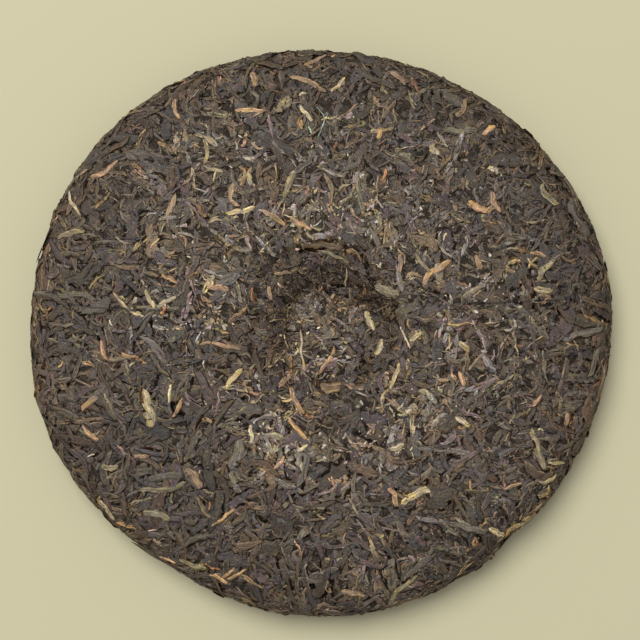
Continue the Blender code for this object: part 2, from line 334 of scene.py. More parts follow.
def paleness_at(place):
    """Paler or darker by place: paler in the hollow and part way out, darker on its wall, towards the rim, on
    the loose side and on one stretch of rim.
    """
    x, y = from_axis(place)
    radius = np.hypot(x, y) / MM
    pale = np.interp(radius, PALE_RADII, PALE_BY_RADIUS) + PALE_DRIFT * drift_at(x, y, 0.7, 38.0)
    pale -= DARK_SIDE * towards(x, y, LOOSE_DIRECTION)**2 * smooth((radius - 30.0) / 35.0)
    return pale - DARK_RIM * towards(x, y, DARK_RIM_DIRECTION)**3 * smooth((radius - 78.0) / 14.0)


def hollow_share_at(place):
    """How far down the knot's hollow a place is, from 0 on the face to 1 on the floor of the hollow."""
    return np.where(place[:, 2] > UPPER_FACE_FROM, hollow_at(*from_axis(place)) / HOLLOW_DEPTH, 0.0)


def torn_at(place):
    """Where the knot tore the surface up, from 0 to 1: on the hollow's wall, mostly at the ledge's side."""
    x, y = from_axis(place)
    depth = hollow_share_at(place)
    ragged = 0.12 * drift_at(x, y, 0.5, 160.0)
    share = LEAST_TORN + (1.0 - LEAST_TORN) * smooth(1.6 * towards(x, y, LEDGE_DIRECTION))
    return share * smooth((depth + ragged - 0.12) / 0.2) * smooth((1.04 - depth + ragged) / 0.12)


def rim_share_at(place):
    """From 0 on the faces to 1 on the rim."""
    return smooth((np.hypot(*from_axis(place)) / MM - 86.0) / 12.0)


# %% [markdown]
# The press left the leaves nearly level, and they stand a little higher where they lie loose, where the
# knot tore them up and at the rim. That height is the soft limit under which a pile is squeezed.

# %% Make the two charts
PRESSED_HEIGHT = 0.3 * MM
LOOSE_HEIGHT = 0.8 * MM
TORN_HEIGHT = 0.7 * MM
RIM_HEIGHT = 1.1 * MM
FOOT_HEIGHT = -0.05 * MM


def make_chart(name, reach, upper):
    """A flat chart that stays out of the scene: it only carries leaves to the cake."""
    flat, place, facing = chart_arrays(reach + CHART_MARGIN, upper, CHART_RINGS, CHART_SIDES)
    mesh = mesh_from(name, flat, grid_faces(CHART_RINGS, CHART_SIDES))
    loose, torn, at_rim = looseness_at(place), torn_at(place), rim_share_at(place)
    distance = np.hypot(flat[:, 0], flat[:, 1])
    laid = smooth((reach + 2.0 * MM - distance) / (4.0 * MM))
    # Where the cake rests on its foot the leaves are pressed flush.
    off_foot = np.ones_like(distance) if upper else smooth((distance - FOOT_RADIUS) / (14.0 * MM))
    pressed = PRESSED_HEIGHT + (LOOSE_HEIGHT - PRESSED_HEIGHT) * loose
    pressed = np.maximum(pressed, np.maximum(TORN_HEIGHT * torn, RIM_HEIGHT * at_rim))
    held = {
        "place": place, "facing": facing,
        "everywhere": laid, "loose": laid * loose, "tight": laid * (1.0 - loose), "torn": laid * torn,
        "hollow": laid * hollow_share_at(place), "rim": laid * at_rim,
        "pale": paleness_at(place) - 0.1 * torn,
        "brown": np.maximum(0.3 * torn, at_rim),
        "gaping": np.maximum(loose, at_rim),
        "limit": FOOT_HEIGHT + (pressed - FOOT_HEIGHT) * off_foot,
    }
    for attribute, values in held.items():
        set_attribute(mesh, attribute, values)
    print(f"{name}: {len(place)} corners, {loose.mean():.0%} loose, {torn.mean():.1%} torn")
    return bpy.data.objects.new(name, mesh)


charts = {
    "upper": make_chart("upper_chart", UPPER_REACH, True),
    "under": make_chart("under_chart", UNDER_REACH, False),
}

# %% [markdown]
# ## Short words for node trees
# Every node tree below is built with the same few words: add a node, set what goes into its sockets,
# and do arithmetic. A socket takes either a plain value or the output of another node.

# %% A small helper for building node trees


class NodeBuilder:
    """Adds nodes to a tree and joins them up."""

    def __init__(self, tree):
        self.tree = tree

    def put(self, socket, value):
        """Joins an output to this socket, or sets its value."""
        if isinstance(value, bpy.types.NodeSocket):
            self.tree.links.new(value, socket)
        elif value is not None:
            socket.default_value = value

    def add(self, kind, sockets=None, **settings):
        """Adds a node. Sockets are given by name or by position."""
        made = self.tree.nodes.new(kind)
        for name, value in settings.items():
            setattr(made, name, value)
        for name, value in (sockets or {}).items():
            self.put(made.inputs[name], value)
        return made

    def math(self, operation, *values):
        """A Math node's output."""
        made = self.add("ShaderNodeMath", dict(enumerate(values)), operation=operation)
        return made.outputs[0]

    def times(self, first, *others):
        """The product of its values."""
        for other in others:
            first = self.math("MULTIPLY", first, other)
        return first

    def plus(self, first, *others):
        """The sum of its values."""
        for other in others:
            first = self.math("ADD", first, other)
        return first

    def minus(self, first, second):
        """The first value less the second."""
        return self.math("SUBTRACT", first, second)

    def kept(self, name):
        """The value of a named attribute, in a material."""
        return self.add("ShaderNodeAttribute", attribute_name=name).outputs["Fac"]

    def named(self, name, kind="FLOAT"):
        """The value of a named attribute, in a geometry tree."""
        return self.add("GeometryNodeInputNamedAttribute", {"Name": name}, data_type=kind).outputs[0]

    def vector(self, operation, *values):
        """A Vector Math node's output."""
        made = self.add("ShaderNodeVectorMath", dict(enumerate(values)), operation=operation)
        return made.outputs["Value" if operation in ("LENGTH", "DOT_PRODUCT") else "Vector"]

    def scaled(self, vector, factor):
        """A vector or a colour times a number."""
        return self.add("ShaderNodeVectorMath", {0: vector, "Scale": factor}, operation="SCALE").outputs[0]

    def xyz(self, x, y, z):
        """A vector from three numbers."""
        return self.add("ShaderNodeCombineXYZ", {0: x, 1: y, 2: z}).outputs[0]

    def split(self, vector):
        """The three numbers of a vector."""
        return self.add("ShaderNodeSeparateXYZ", {0: vector}).outputs

    def spread(self, value, low, high, to_low, to_high):
        """Takes low to high over to to_low to to_high, and holds it there."""
        made = self.add("ShaderNodeMapRange", {0: value, 1: low, 2: high, 3: to_low, 4: to_high})
        return made.outputs[0]

    def finish(self, result, geometry, material):
        """Ends a geometry tree in Realize Instances and Set Material."""
        real = self.add("GeometryNodeRealizeInstances", {"Geometry": geometry}).outputs[0]
        finished = self.add("GeometryNodeSetMaterial", {"Geometry": real, "Material": material})
        self.put(result[0], finished.outputs[0])


def geometry_tree(name, sockets):
    """A Geometry Nodes tree with these named inputs: {name: (kind of socket, default)}."""
    tree = bpy.data.node_groups.new(name, "GeometryNodeTree")
    tree.interface.new_socket("Geometry", in_out="INPUT", socket_type="NodeSocketGeometry")
    tree.interface.new_socket("Geometry", in_out="OUTPUT", socket_type="NodeSocketGeometry")
    for label, (kind, default) in sockets.items():
        socket = tree.interface.new_socket(label, in_out="INPUT", socket_type="NodeSocket" + kind)
        if default is not None:
            socket.default_value = default
    given, result = tree.nodes.new("NodeGroupInput"), tree.nodes.new("NodeGroupOutput")
    return NodeBuilder(tree), given.outputs, result.inputs


def run_tree(tree, mesh, name, **values):
    """Runs a tree on a mesh with these inputs, and returns the result as a plain mesh."""
    carrier = bpy.data.objects.new(name, mesh)
    bpy.context.scene.collection.objects.link(carrier)
    modifier = carrier.modifiers.new(name, "NODES")
    modifier.node_group = tree
    names = {item.name: item.identifier for item in tree.interface.items_tree if item.in_out == "INPUT"}
    for label, value in values.items():
        modifier[names[label.replace("_", " ").capitalize()]] = value
    bpy.context.view_layer.update()
    graph = bpy.context.evaluated_depsgraph_get()
    result = bpy.data.meshes.new_from_object(carrier.evaluated_get(graph), depsgraph=graph)
    bpy.data.objects.remove(carrier)
    result.name = name
    return result


# %% [markdown]
# ## Laying leaves
# One tree scatters every kind of leaf. It spreads points on the chart, puts a leaf on each, turned any
# way in the middle and along the rim near the edge, tips it a little so that one end dives under, and
# lets it sag on what already lies there: each corner looks straight down for the ground under it, and
# the ground is blurred along the leaf, because a leaf is stiffer than the gaps that it spans. A second,
# shorter tree only lets leaves sag that already have a place.

# %% Letting flat leaves sag
LOOK_FROM = 0.05


def draped(build, inputs, geometry):
    """The nodes that let flat leaves sag on what lies below them."""
    below = build.add("GeometryNodeCollectionInfo", {"Collection": inputs["Below"]})
    ground = build.add("GeometryNodeRealizeInstances", {"Geometry": below.outputs[0]}).outputs[0]
    x, y, z = build.split(build.add("GeometryNodeInputPosition").outputs[0])
    look = build.add("GeometryNodeRaycast", {
        "Target Geometry": ground,
        "Source Position": build.xyz(x, y, LOOK_FROM),
        "Ray Direction": (0.0, 0.0, -1.0),
        "Ray Length": 2.0 * LOOK_FROM,
    })
    found = build.split(look.outputs["Hit Position"])[2]
    level = build.add(
        "GeometryNodeBlurAttribute", {"Value": found, "Iterations": inputs["Stiffness"]}, data_type="FLOAT"
    ).outputs[0]
    sagged = build.xyz(x, y, build.plus(level, z))
    return build.add("GeometryNodeSetPosition", {"Geometry": geometry, "Position": sagged}).outputs[0]


def build_placing_tree():
    """Only gathers and drapes: for leaves whose places are chosen one by one."""
    build, inputs, result = geometry_tree("place_leaves", {
        "Leaves": ("Collection", None),
        "Below": ("Collection", None),
        "Stiffness": ("Int", 4),
        "Material": ("Material", None),
    })
    leaves = build.add("GeometryNodeCollectionInfo", {"Collection": inputs["Leaves"]}).outputs[0]
    gathered = build.add("GeometryNodeRealizeInstances", {"Geometry": leaves}).outputs[0]
    build.finish(result, draped(build, inputs, gathered), inputs["Material"])
    return build.tree


PLACE_LEAVES = build_placing_tree()
print("placing tree:", len(PLACE_LEAVES.nodes), "nodes")

# %% The tree that scatters leaves on a chart
RIMWARD_START = 74.0 * MM
RIMWARD_END = 104.0 * MM
CANDIDATES = 4.0
WIDTH_SPREAD = (0.8, 1.25)


def build_laying_tree():
    """Scatter, turn, tip, realize and drape."""
    build, inputs, result = geometry_tree("lay_leaves", {
        "Leaves": ("Collection", None),
        "Below": ("Collection", None),
        "Variants": ("Int", 8),
        "Where": ("String", "everywhere"),
        "Density": ("Float", 1.0e4),
        "Evenness": ("Float", 0.72),
        "Seed": ("Int", 1),
        "Smallest": ("Float", 0.8),
        "Largest": ("Float", 1.2),
        "Tip": ("Float", 3.0),
        "Roll": ("Float", 12.0),
        "Rim turn": ("Float", 32.0),
        "Stiffness": ("Int", 4),
        "Material": ("Material", None),
    })

    def random(low, high, offset):
        seed = build.plus(inputs["Seed"], float(offset))
        sockets = {"Seed": seed, 2: low, 3: high}
        return build.add("FunctionNodeRandomValue", sockets, data_type="FLOAT").outputs[1]

    apart = build.math("DIVIDE", inputs["Evenness"], build.math("SQRT", inputs["Density"]))
    points = build.add(
        "GeometryNodeDistributePointsOnFaces",
        {
            "Mesh": inputs["Geometry"],
            "Distance Min": apart,
            "Density Max": build.times(inputs["Density"], CANDIDATES),
            "Density Factor": build.named(inputs["Where"]),
            "Seed": inputs["Seed"],
        },
        distribute_method="POISSON",
    )
    position = build.add("GeometryNodeInputPosition").outputs[0]
    x, y, _ = build.split(position)
    reach = build.vector("LENGTH", position)
    rim_turn = build.math("RADIANS", inputs["Rim turn"])
    most_turn = build.spread(reach, RIMWARD_START, RIMWARD_END, math.pi, rim_turn)
    end_for_end = build.times(build.math("ROUND", random(0.0, 1.0, 11)), math.pi)
    turn = build.times(random(-1.0, 1.0, 12), most_turn)
    along_rim = build.plus(build.math("ARCTAN2", y, x), 0.5 * math.pi)
    yaw = build.plus(along_rim, turn, end_for_end)
    tip = build.math("RADIANS", build.times(random(-1.0, 1.0, 13), inputs["Tip"]))
    roll = build.math("RADIANS", build.times(random(-1.0, 1.0, 14), inputs["Roll"]))
    long = random(inputs["Smallest"], inputs["Largest"], 15)
    wide = build.times(long, random(*WIDTH_SPREAD, 16))
    last = build.minus(inputs["Variants"], 1.0)
    sockets = {"Seed": build.plus(inputs["Seed"], 17.0), 4: 0, 5: last}
    pick = build.add("FunctionNodeRandomValue", sockets, data_type="INT")
    leaves = build.add(
        "GeometryNodeCollectionInfo",
        {"Collection": inputs["Leaves"], "Separate Children": True, "Reset Children": True},
    )
    laid_out = build.add("GeometryNodeInstanceOnPoints", {
        "Points": points.outputs["Points"],
        "Instance": leaves.outputs[0],
        "Pick Instance": True,
        "Instance Index": pick.outputs[2],
        "Rotation": build.xyz(roll, tip, yaw),
        "Scale": build.xyz(long, wide, 1.0),
    })
    geometry = laid_out.outputs[0]
    shares = {
        "tone": build.plus(random(0.0, 1.0, 21), build.named("pale")),
        "tint": random(0.0, 1.0, 22),
        "grain": random(0.0, 1.0, 23),
        "browned": build.named("brown"),
        "gaping": build.named("gaping"),
    }
    for name, share in shares.items():
        geometry = build.add(
            "GeometryNodeStoreNamedAttribute",
            {"Geometry": geometry, "Name": name, "Value": share},
            data_type="FLOAT",
            domain="INSTANCE",
        ).outputs[0]
    realized = build.add("GeometryNodeRealizeInstances", {"Geometry": geometry}).outputs[0]
    build.finish(result, draped(build, inputs, realized), inputs["Material"])
    return build.tree


LAY_LEAVES = build_laying_tree()
print("laying tree:", len(LAY_LEAVES.nodes), "nodes")

# %% [markdown]
# ## Wrapping on the cake
# The next tree carries a flat layer to the cake. Each corner looks down at the chart for its place
# and its outward direction. Its height over the chart is first squeezed under a soft limit, as the
# cloth and the press squeezed the real leaves level.

# %% The tree that wraps a flat layer on the cake
PILE_DEPTH = 0.65 * MM
SOFTNESS = 0.25 * MM


def build_wrapping_tree():
    """Look up place, facing and limit on the chart, squeeze the height, and move."""
    build, inputs, result = geometry_tree("wrap_on_cake", {
        "Chart": ("Object", None),
        "Material": ("Material", None),
    })
    chart = build.add("GeometryNodeObjectInfo", {"Object": inputs["Chart"]}).outputs["Geometry"]
    x, y, z = build.split(build.add("GeometryNodeInputPosition").outputs[0])

    def look_up(name, kind):
        found = build.add(
            "GeometryNodeRaycast",
            {
                "Target Geometry": chart,
                "Attribute": build.named(name, kind),
                "Source Position": build.xyz(x, y, LOOK_FROM),
                "Ray Direction": (0.0, 0.0, -1.0),
                "Ray Length": 2.0 * LOOK_FROM,
            },
            data_type=kind,
            mapping="INTERPOLATED",
        )
        return found.outputs["Attribute"]

    over = build.minus(z, PILE_DEPTH)
    limit = look_up("limit", "FLOAT")
    beyond = build.minus(over, limit)
    root = build.math("SQRT", build.plus(build.times(beyond, beyond), SOFTNESS**2))
    squeezed = build.times(build.minus(build.plus(over, limit), root), 0.5)
    out = build.vector("NORMALIZE", look_up("facing", "FLOAT_VECTOR"))
    raised = build.scaled(out, squeezed)
    position = build.vector("ADD", look_up("place", "FLOAT_VECTOR"), raised)
    moved = build.add("GeometryNodeSetPosition", {"Geometry": inputs["Geometry"], "Position": position})
    build.finish(result, moved.outputs[0], inputs["Material"])
    return build.tree


WRAP_ON_CAKE = build_wrapping_tree()
print("wrapping tree:", len(WRAP_ON_CAKE.nodes), "nodes")


# %% [markdown]
# ## Leaf shapes
# Tea leaves are twisted while they are damp, then steamed and pressed flat. So a strand is a flattened
# twist with a few sharp folds along it, and a leaf that was never twisted is a broad wrinkled scrap. One
# maker does for all: a row of rings along a wandering spine. Each ring has a few corners over the top,
# where the folds are, and one keel below, which keeps the leaf closed and light. A map, in metres along
# and across the leaf, lets the finish draw its streaks the way they grow, and an attribute holds each
# corner's gap to the leaf's edge.

# %% The maker of every leaf
TURN = 2.0 * math.pi


def wander(draw, along, size, waves=2.5):
    """A smooth random curve over a leaf's length."""
    phases = draw.uniform(0.0, TURN, 3)
    shares = draw.uniform(0.3, 1.0, 3)
    waves_each = waves * (np.arange(3) + 1.0) / 3.0
    curve = sum(s * np.sin(TURN * w * along + p) for s, w, p in zip(shares, waves_each, phases))
    return size * curve / shares.sum()


def finish_leaf(name, points, faces, along_across, gap):
    """Makes the mesh, turns its faces outwards, and stores the leaf's map and the gap to its edge."""
    mesh = mesh_from(name, points, faces)
    shape = bmesh.new()
    shape.from_mesh(mesh)
    bmesh.ops.recalc_face_normals(shape, faces=shape.faces)
    shape.to_mesh(mesh)
    shape.free()
    corners = np.empty(len(mesh.loops), dtype=np.int32)
    mesh.loops.foreach_get("vertex_index", corners)
    layer = mesh.uv_layers.new(name="leaf")
    layer.uv.foreach_set("vector", np.asarray(along_across, dtype=np.float32)[corners].ravel())
    set_attribute(mesh, "gap", np.asarray(gap, dtype=float))
    return mesh


def pressed_leaf(
    name, draw, length, width, rows=6, ring=5,
    arch=0.10, fold=0.10, ragged=0.12, bend=0.5, twist=0.5, blunt=0.2, thick=0.3 * MM,
):
    """A closed leaf. arch and fold are shares of its width, and bend and twist are in radians."""
    along = np.linspace(0.0, 1.0, rows + 2)
    heading = bend * (along - 0.5) + wander(draw, along, 0.4)
    step = length / (rows + 1)
    spine_x = np.concatenate([[0.0], np.cumsum(np.cos(heading[:-1]))]) * step
    spine_y = np.concatenate([[0.0], np.cumsum(np.sin(heading[:-1]))]) * step
    spine_x -= spine_x.mean()
    spine_y -= spine_y.mean()
    fullness = blunt + (1.0 - blunt) * np.sin(math.pi * along) ** 0.7
    roll = twist * wander(draw, along, 1.0, 1.6)
    side = np.linspace(-1.0, 1.0, ring)
    side[1:-1] += draw.uniform(-0.5, 0.5, ring - 2) / ring
    phases = draw.uniform(0.0, TURN) + math.pi * np.arange(ring) * draw.uniform(0.7, 1.0)
    turns = draw.uniform(-1.2, 1.2)
    points = [(spine_x[0], spine_y[0], 0.0)]
    map_points = [(0.0, 0.0)]
    gap = [0.0]
    for i in range(1, rows + 1):
        halves = 0.5 * width * fullness[i] * (1.0 + ragged * draw.normal(size=2))
        across = np.where(side < 0.0, halves[0], halves[1]) * side
        folded = fold * width * (np.sin(phases + TURN * turns * along[i]) + 0.5 * draw.normal(size=ring))
        lift = arch * width * (1.0 - side**2) + folded * fullness[i]
        across = np.append(across, 0.5 * (across[0] + across[-1]))
        lift = np.append(lift, -thick)
        turned = across * math.cos(roll[i]) - lift * math.sin(roll[i])
        raised = 0.45 * across * math.sin(roll[i]) + lift * math.cos(roll[i])
        x = spine_x[i] - turned * math.sin(heading[i])
        y = spine_y[i] + turned * math.cos(heading[i])
        points.extend(zip(x, y, raised))
        map_points.extend((along[i] * length, a) for a in across)
        gap.extend(np.append(np.where(side < 0.0, halves[0], halves[1]) * (1.0 - np.abs(side)), 0.0))
    points.append((spine_x[-1], spine_y[-1], 0.0))
    map_points.append((length, 0.0))
    gap.append(0.0)
    count = ring + 1
    last = len(points) - 1
    faces = []
    for j in range(count):
        after = (j + 1) % count
        faces.append((0, 1 + j, 1 + after))
        faces.append((last, last - count + after, last - count + j))
        for i in range(rows - 1):
            start = 1 + i * count
            faces.append((start + j, start + count + j, start + count + after, start + after))
    mesh = finish_leaf(name, points, faces, map_points, gap)
    mesh.shade_smooth()
    return mesh


# %% [markdown]
# The finest scraps are slivers and crumbs of a millimetre or so: eight faces each are enough, and they
# stay faceted, because it is their facets that catch the light.

# %% A crumb
CRUMB_CORNERS = np.array([
    (1, 0, 0), (0, 1, 0), (-1, 0, 0), (0, -1, 0), (0, 0, 1), (0, 0, -1),
], dtype=float)
CRUMB_FACES = [(0, 1, 4), (1, 2, 4), (2, 3, 4), (3, 0, 4), (1, 0, 5), (2, 1, 5), (3, 2, 5), (0, 3, 5)]
CRUMB_LENGTHS = (0.6, 2.0)


def leaf_crumb(name, draw):
    """A flat sliver with uneven corners."""
    size = draw.uniform(*CRUMB_LENGTHS) * MM
    shape = np.array([1.0, draw.uniform(0.3, 0.6), draw.uniform(0.15, 0.3)])
    points = CRUMB_CORNERS * draw.uniform(0.35, 0.65, (6, 1)) * size * shape
    points[4, :2] = draw.uniform(-0.15, 0.15, 2) * size
    return finish_leaf(name, points, CRUMB_FACES, points[:, :2], np.full(6, size))


# %% The kinds: (shapes, lengths and widths in mm, most bend, whether it curls, settings of pressed_leaf)
STRAND_KINDS = {
    "broad_leaves": (14, (9.0, 18.0), (4.0, 7.5), 0.8, False, dict(
        rows=8, ring=7, arch=0.03, fold=0.04, ragged=0.2, twist=0.25, blunt=0.25)),
    "large_strands": (16, (10.0, 20.0), (1.9, 3.4), 2.4, True, dict(
        rows=7, ring=5, arch=0.06, fold=0.085, twist=0.6)),
    "medium_strands": (18, (6.0, 13.0), (1.1, 2.1), 3.4, True, dict(rows=5, ring=4, arch=0.08, twist=0.7)),
    "fine_strands": (18, (3.0, 8.0), (0.45, 0.95), 3.6, True, dict(
        rows=3, ring=3, arch=0.2, fold=0.12, thick=0.25 * MM)),
    "leaf_scraps": (18, (2.5, 6.0), (1.5, 3.4), 1.2, False, dict(
        rows=3, ring=4, arch=0.04, fold=0.12, ragged=0.3, twist=0.6, blunt=0.45)),
    "olive_strands": (14, (6.0, 15.0), (1.4, 3.2), 3.8, True, dict(
        rows=7, ring=5, arch=0.05, fold=0.12, ragged=0.2, twist=0.8)),
    "amber_tips": (16, (3.5, 10.0), (1.0, 2.6), 4.4, True, dict(
        rows=6, ring=5, arch=0.05, fold=0.12, ragged=0.25, twist=0.8, blunt=0.1)),
    "straw_stems": (12, (3.0, 9.0), (0.6, 1.3), 1.6, False, dict(
        rows=5, ring=3, arch=0.2, twist=0.3, blunt=0.4)),
    "knot_fibres": (16, (2.0, 6.0), (0.3, 0.7), 2.4, False, dict(
        rows=4, ring=3, arch=0.3, fold=0.2, twist=0.6)),
}
CRUMB_SHAPES = 14


def strand_maker(lengths, widths, most_bend, curls, settings):
    """Makes one leaf of a kind from a draw. Where a kind curls, most bend a little and a few to a ring."""
    def make(name, draw):
        length, width = draw.uniform(*lengths) * MM, draw.uniform(*widths) * MM
        bend = most_bend * draw.uniform(-1.0, 1.0)**3 if curls else draw.uniform(-most_bend, most_bend)
        return pressed_leaf(name, draw, length, width, bend=bend, **settings)
    return make


def variants(kind, count, make):
    """Makes this many shapes of one kind, each from a random draw of its own, in one collection."""
    collection = bpy.data.collections.new(kind)
    triangles = 0
    for i in range(count):
        mesh = make(f"{kind}_{i:02d}", np.random.default_rng([SEED, count, len(kind), i]))
        collection.objects.link(bpy.data.objects.new(mesh.name, mesh))
        mesh.calc_loop_triangles()
        triangles += len(mesh.loop_triangles)
    print(f"{kind}: {count} shapes, about {triangles / count:.0f} triangles each")
    return collection


LEAF_KINDS = {kind: variants(kind, count, strand_maker(*row)) for kind, (count, *row) in STRAND_KINDS.items()}
LEAF_KINDS["leaf_crumbs"] = variants("leaf_crumbs", CRUMB_SHAPES, leaf_crumb)

# %% [markdown]
# ## Finishes
# Dry pressed leaf is dull, dark grey-brown, and never one colour: each leaf has its own tone and cast,
# browner or greyer patches cross it, and fine streaks run along it. Light and shade are partly painted on
# as well: a few folds along it as a light line with a dark line of painted shadow beside it, a painted
# highlight just inside its edge, and a dark line of painted shadow where it dives under the next. The
# trees gave each leaf a tone, a tint and a grain, and how brown and how loose the leaves are there. One
# finish reads them: it picks the colour from a short row with tone and draws on the leaf's own map.
# Nothing is painted by hand, so every leaf is different.

# %% Colours are given as they look on a screen, from 0 to 255


def screen_colour(red, green, blue):
    """The linear colour with alpha that Blender's sockets take."""
    def linear(value):
        share = value / 255.0
        return share / 12.92 if share <= 0.04045 else ((share + 0.055) / 1.055) ** 2.4
    return (linear(red), linear(green), linear(blue), 1.0)


def colour_row(build, share, stops):
    """A colour ramp over stops of (share, screen colour)."""
    ramp = build.add("ShaderNodeValToRGB", {0: share})
    elements = ramp.color_ramp.elements
    while len(elements) < len(stops):
        elements.new(0.5)
    for element, (position, colour) in zip(elements, stops):
        element.position = position
        element.color = screen_colour(*colour)
    return ramp.outputs[0]


def mixed(build, share, first, second, blend="MIX"):
    """Two colours mixed by a share."""
    made = build.add("ShaderNodeMix", data_type="RGBA", blend_type=blend)
    build.put(made.inputs[0], share)
    build.put(made.inputs[6], first)
    build.put(made.inputs[7], second)
    return made.outputs[2]


def noise_share(build, vector, scale, detail=2.0, roughness=0.5):
    """A noise pattern from 0 to 1."""
    sockets = {"Vector": vector, "Scale": scale, "Detail": detail, "Roughness": roughness}
    return build.add("ShaderNodeTexNoise", sockets).outputs[0]


def new_finish(name):
    """A material with an empty Principled shader, and the words to build on it."""
    material = bpy.data.materials.new(name)
    material.use_nodes = True
    build = NodeBuilder(material.node_tree)
    return material, build, material.node_tree.nodes["Principled BSDF"]


# %% Painted shadow of the cloth's sharpest creases, as dark hairlines: start x and y, end x and y in mm from the middle
CREASE_LINES = (
    (36.0, 8.5, 97.0, 11.0), (50.0, 24.5, 80.0, 34.0), (-25.0, 4.5, -98.0, 9.5),
)
CREASE_HALVES = (0.15 * MM, 0.65 * MM)
CREASE_FADE = 12.0 * MM
CREASE_SHADE = 0.3
CREASE_WOBBLE = 2.4 * MM
WOBBLE_WAVES = 160.0


def crease_shade(build, place):
    """How dark the painted shadow of the cloth's creases makes a place, from 1 beside the hairlines down to
    CREASE_SHADE on them.
    """
    x, y, _ = build.split(build.vector("SUBTRACT", place, (AXIS_X, AXIS_Y, 0.0)))
    wobble = build.times(build.minus(noise_share(build, place, WOBBLE_WAVES), 0.5), CREASE_WOBBLE)
    shade = 1.0
    for line in CREASE_LINES:
        start_x, start_y, end_x, end_y = (value * MM for value in line)
        length = math.hypot(end_x - start_x, end_y - start_y)
        way_x, way_y = (end_x - start_x) / length, (end_y - start_y) / length
        from_x, from_y = build.minus(x, start_x), build.minus(y, start_y)
        along = build.plus(build.times(from_x, way_x), build.times(from_y, way_y))
        across = build.minus(build.times(from_y, way_x), build.times(from_x, way_y))
        off = build.math("ABSOLUTE", build.plus(across, wobble))
        dark = build.times(
            build.spread(off, *CREASE_HALVES, 1.0 - CREASE_SHADE, 0.0),
            build.spread(along, 0.0, CREASE_FADE, 0.0, 1.0),
            build.spread(along, length - CREASE_FADE, length, 1.0, 0.0),
        )
        shade = build.times(shade, build.minus(1.0, dark))
    return shade


print(len(CREASE_LINES), "hairlines")

# %% The finish of every leaf. Waves are to the metre, and a spread is a pair of low and high
STREAK_WAVES = (260.0, 2400.0, 60.0)
FOLD_WAVES = (0.45, 0.4, 1.0)
CRUMPLE_WAVES, PATCH_WAVES, CAST_WAVES, FLECK_WAVES = 900.0, 230.0, 320.0, 2300.0
PATCH_SPREAD = (0.42, 0.58)
CASTS, MARGINS = 7.0, 13.0
CAST_DRIFT = 0.3
CRUMPLE_SHADE = 0.24
# Pale flecks, partly pale down on the leaf and partly painted glints.
FLECK_SPREAD, FLECK_AND_GLINT_LIGHT = (0.64, 0.74), 1.6
# Painted shade: a dark warm brown line at each leaf's edge stands for the shadow in the crack where it dives
# under the next, fainter where the leaves lie tight.
EDGE_SHADOW_GAPS, EDGE_SHADOW_COLOUR, TIGHT_EDGE_SHADOW = (0.02 * MM, 0.22 * MM), (122, 102, 78), 0.2
# Painted highlight: a leaf is made lighter within these gaps of its edge.
EDGE_HIGHLIGHT_GAPS = (0.2 * MM, 0.6 * MM)
MARGIN_GAPS, MARGIN, MARGIN_SPREAD = (0.2 * MM, 0.7 * MM), (130, 112, 86), (0.65, 0.85)
# Painted light on the folds: a light line along each fold and a dark line of painted shadow beside it.
FOLD, FOLD_HALF, FOLD_HIGHLIGHT = 0.5, 0.05, 1.68
PLEAT, PLEAT_HALF, PLEAT_SHADOW = 0.36, 0.04, 0.55
ROUGHNESS = (0.32, 0.6)
EDGE_GLOSS = 0.1
RELIEF = 0.4 * MM
BROWNED = (254, 244, 228)
WHITE = (1.0, 1.0, 1.0, 1.0)


def leaf_colour(build, stops, patch, patch_share, margins, place, grain, gap, inside):
    """The tone's colour, with patches, a cast, the region's brown, a paler margin and a painted shadow along
    the leaf's edge.
    """
    tone, tint, browned = (build.kept(name) for name in ("tone", "tint", "browned"))
    patches = build.spread(noise_share(build, place, PATCH_WAVES, 3.0, 0.6), *PATCH_SPREAD, 0.0, 1.0)
    patches = build.times(patches, build.times(tint, patch_share))
    colour = mixed(build, patches, colour_row(build, tone, stops), screen_colour(*patch))
    drift = build.spread(noise_share(build, place, CAST_WAVES, 3.0, 0.6), 0.3, 0.7, -CAST_DRIFT, CAST_DRIFT)
    cast = build.plus(build.math("FRACT", build.times(grain, CASTS)), drift)
    colour = mixed(build, 1.0, colour, colour_row(build, cast, LEAF_CASTS), "MULTIPLY")
    colour = mixed(build, browned, colour, screen_colour(*BROWNED), "MULTIPLY")
    has_margin = build.math("FRACT", build.times(grain, MARGINS))
    margin = build.times(
        build.spread(gap, *MARGIN_GAPS, 1.0, 0.0), build.spread(has_margin, *MARGIN_SPREAD, 0.0, margins))
    colour = mixed(build, margin, colour, screen_colour(*MARGIN))
    # Painted shade: near the leaf's edge the colour is multiplied towards a dark warm brown.
    return mixed(build, 1.0, colour, mixed(build, inside, screen_colour(*EDGE_SHADOW_COLOUR), WHITE), "MULTIPLY")


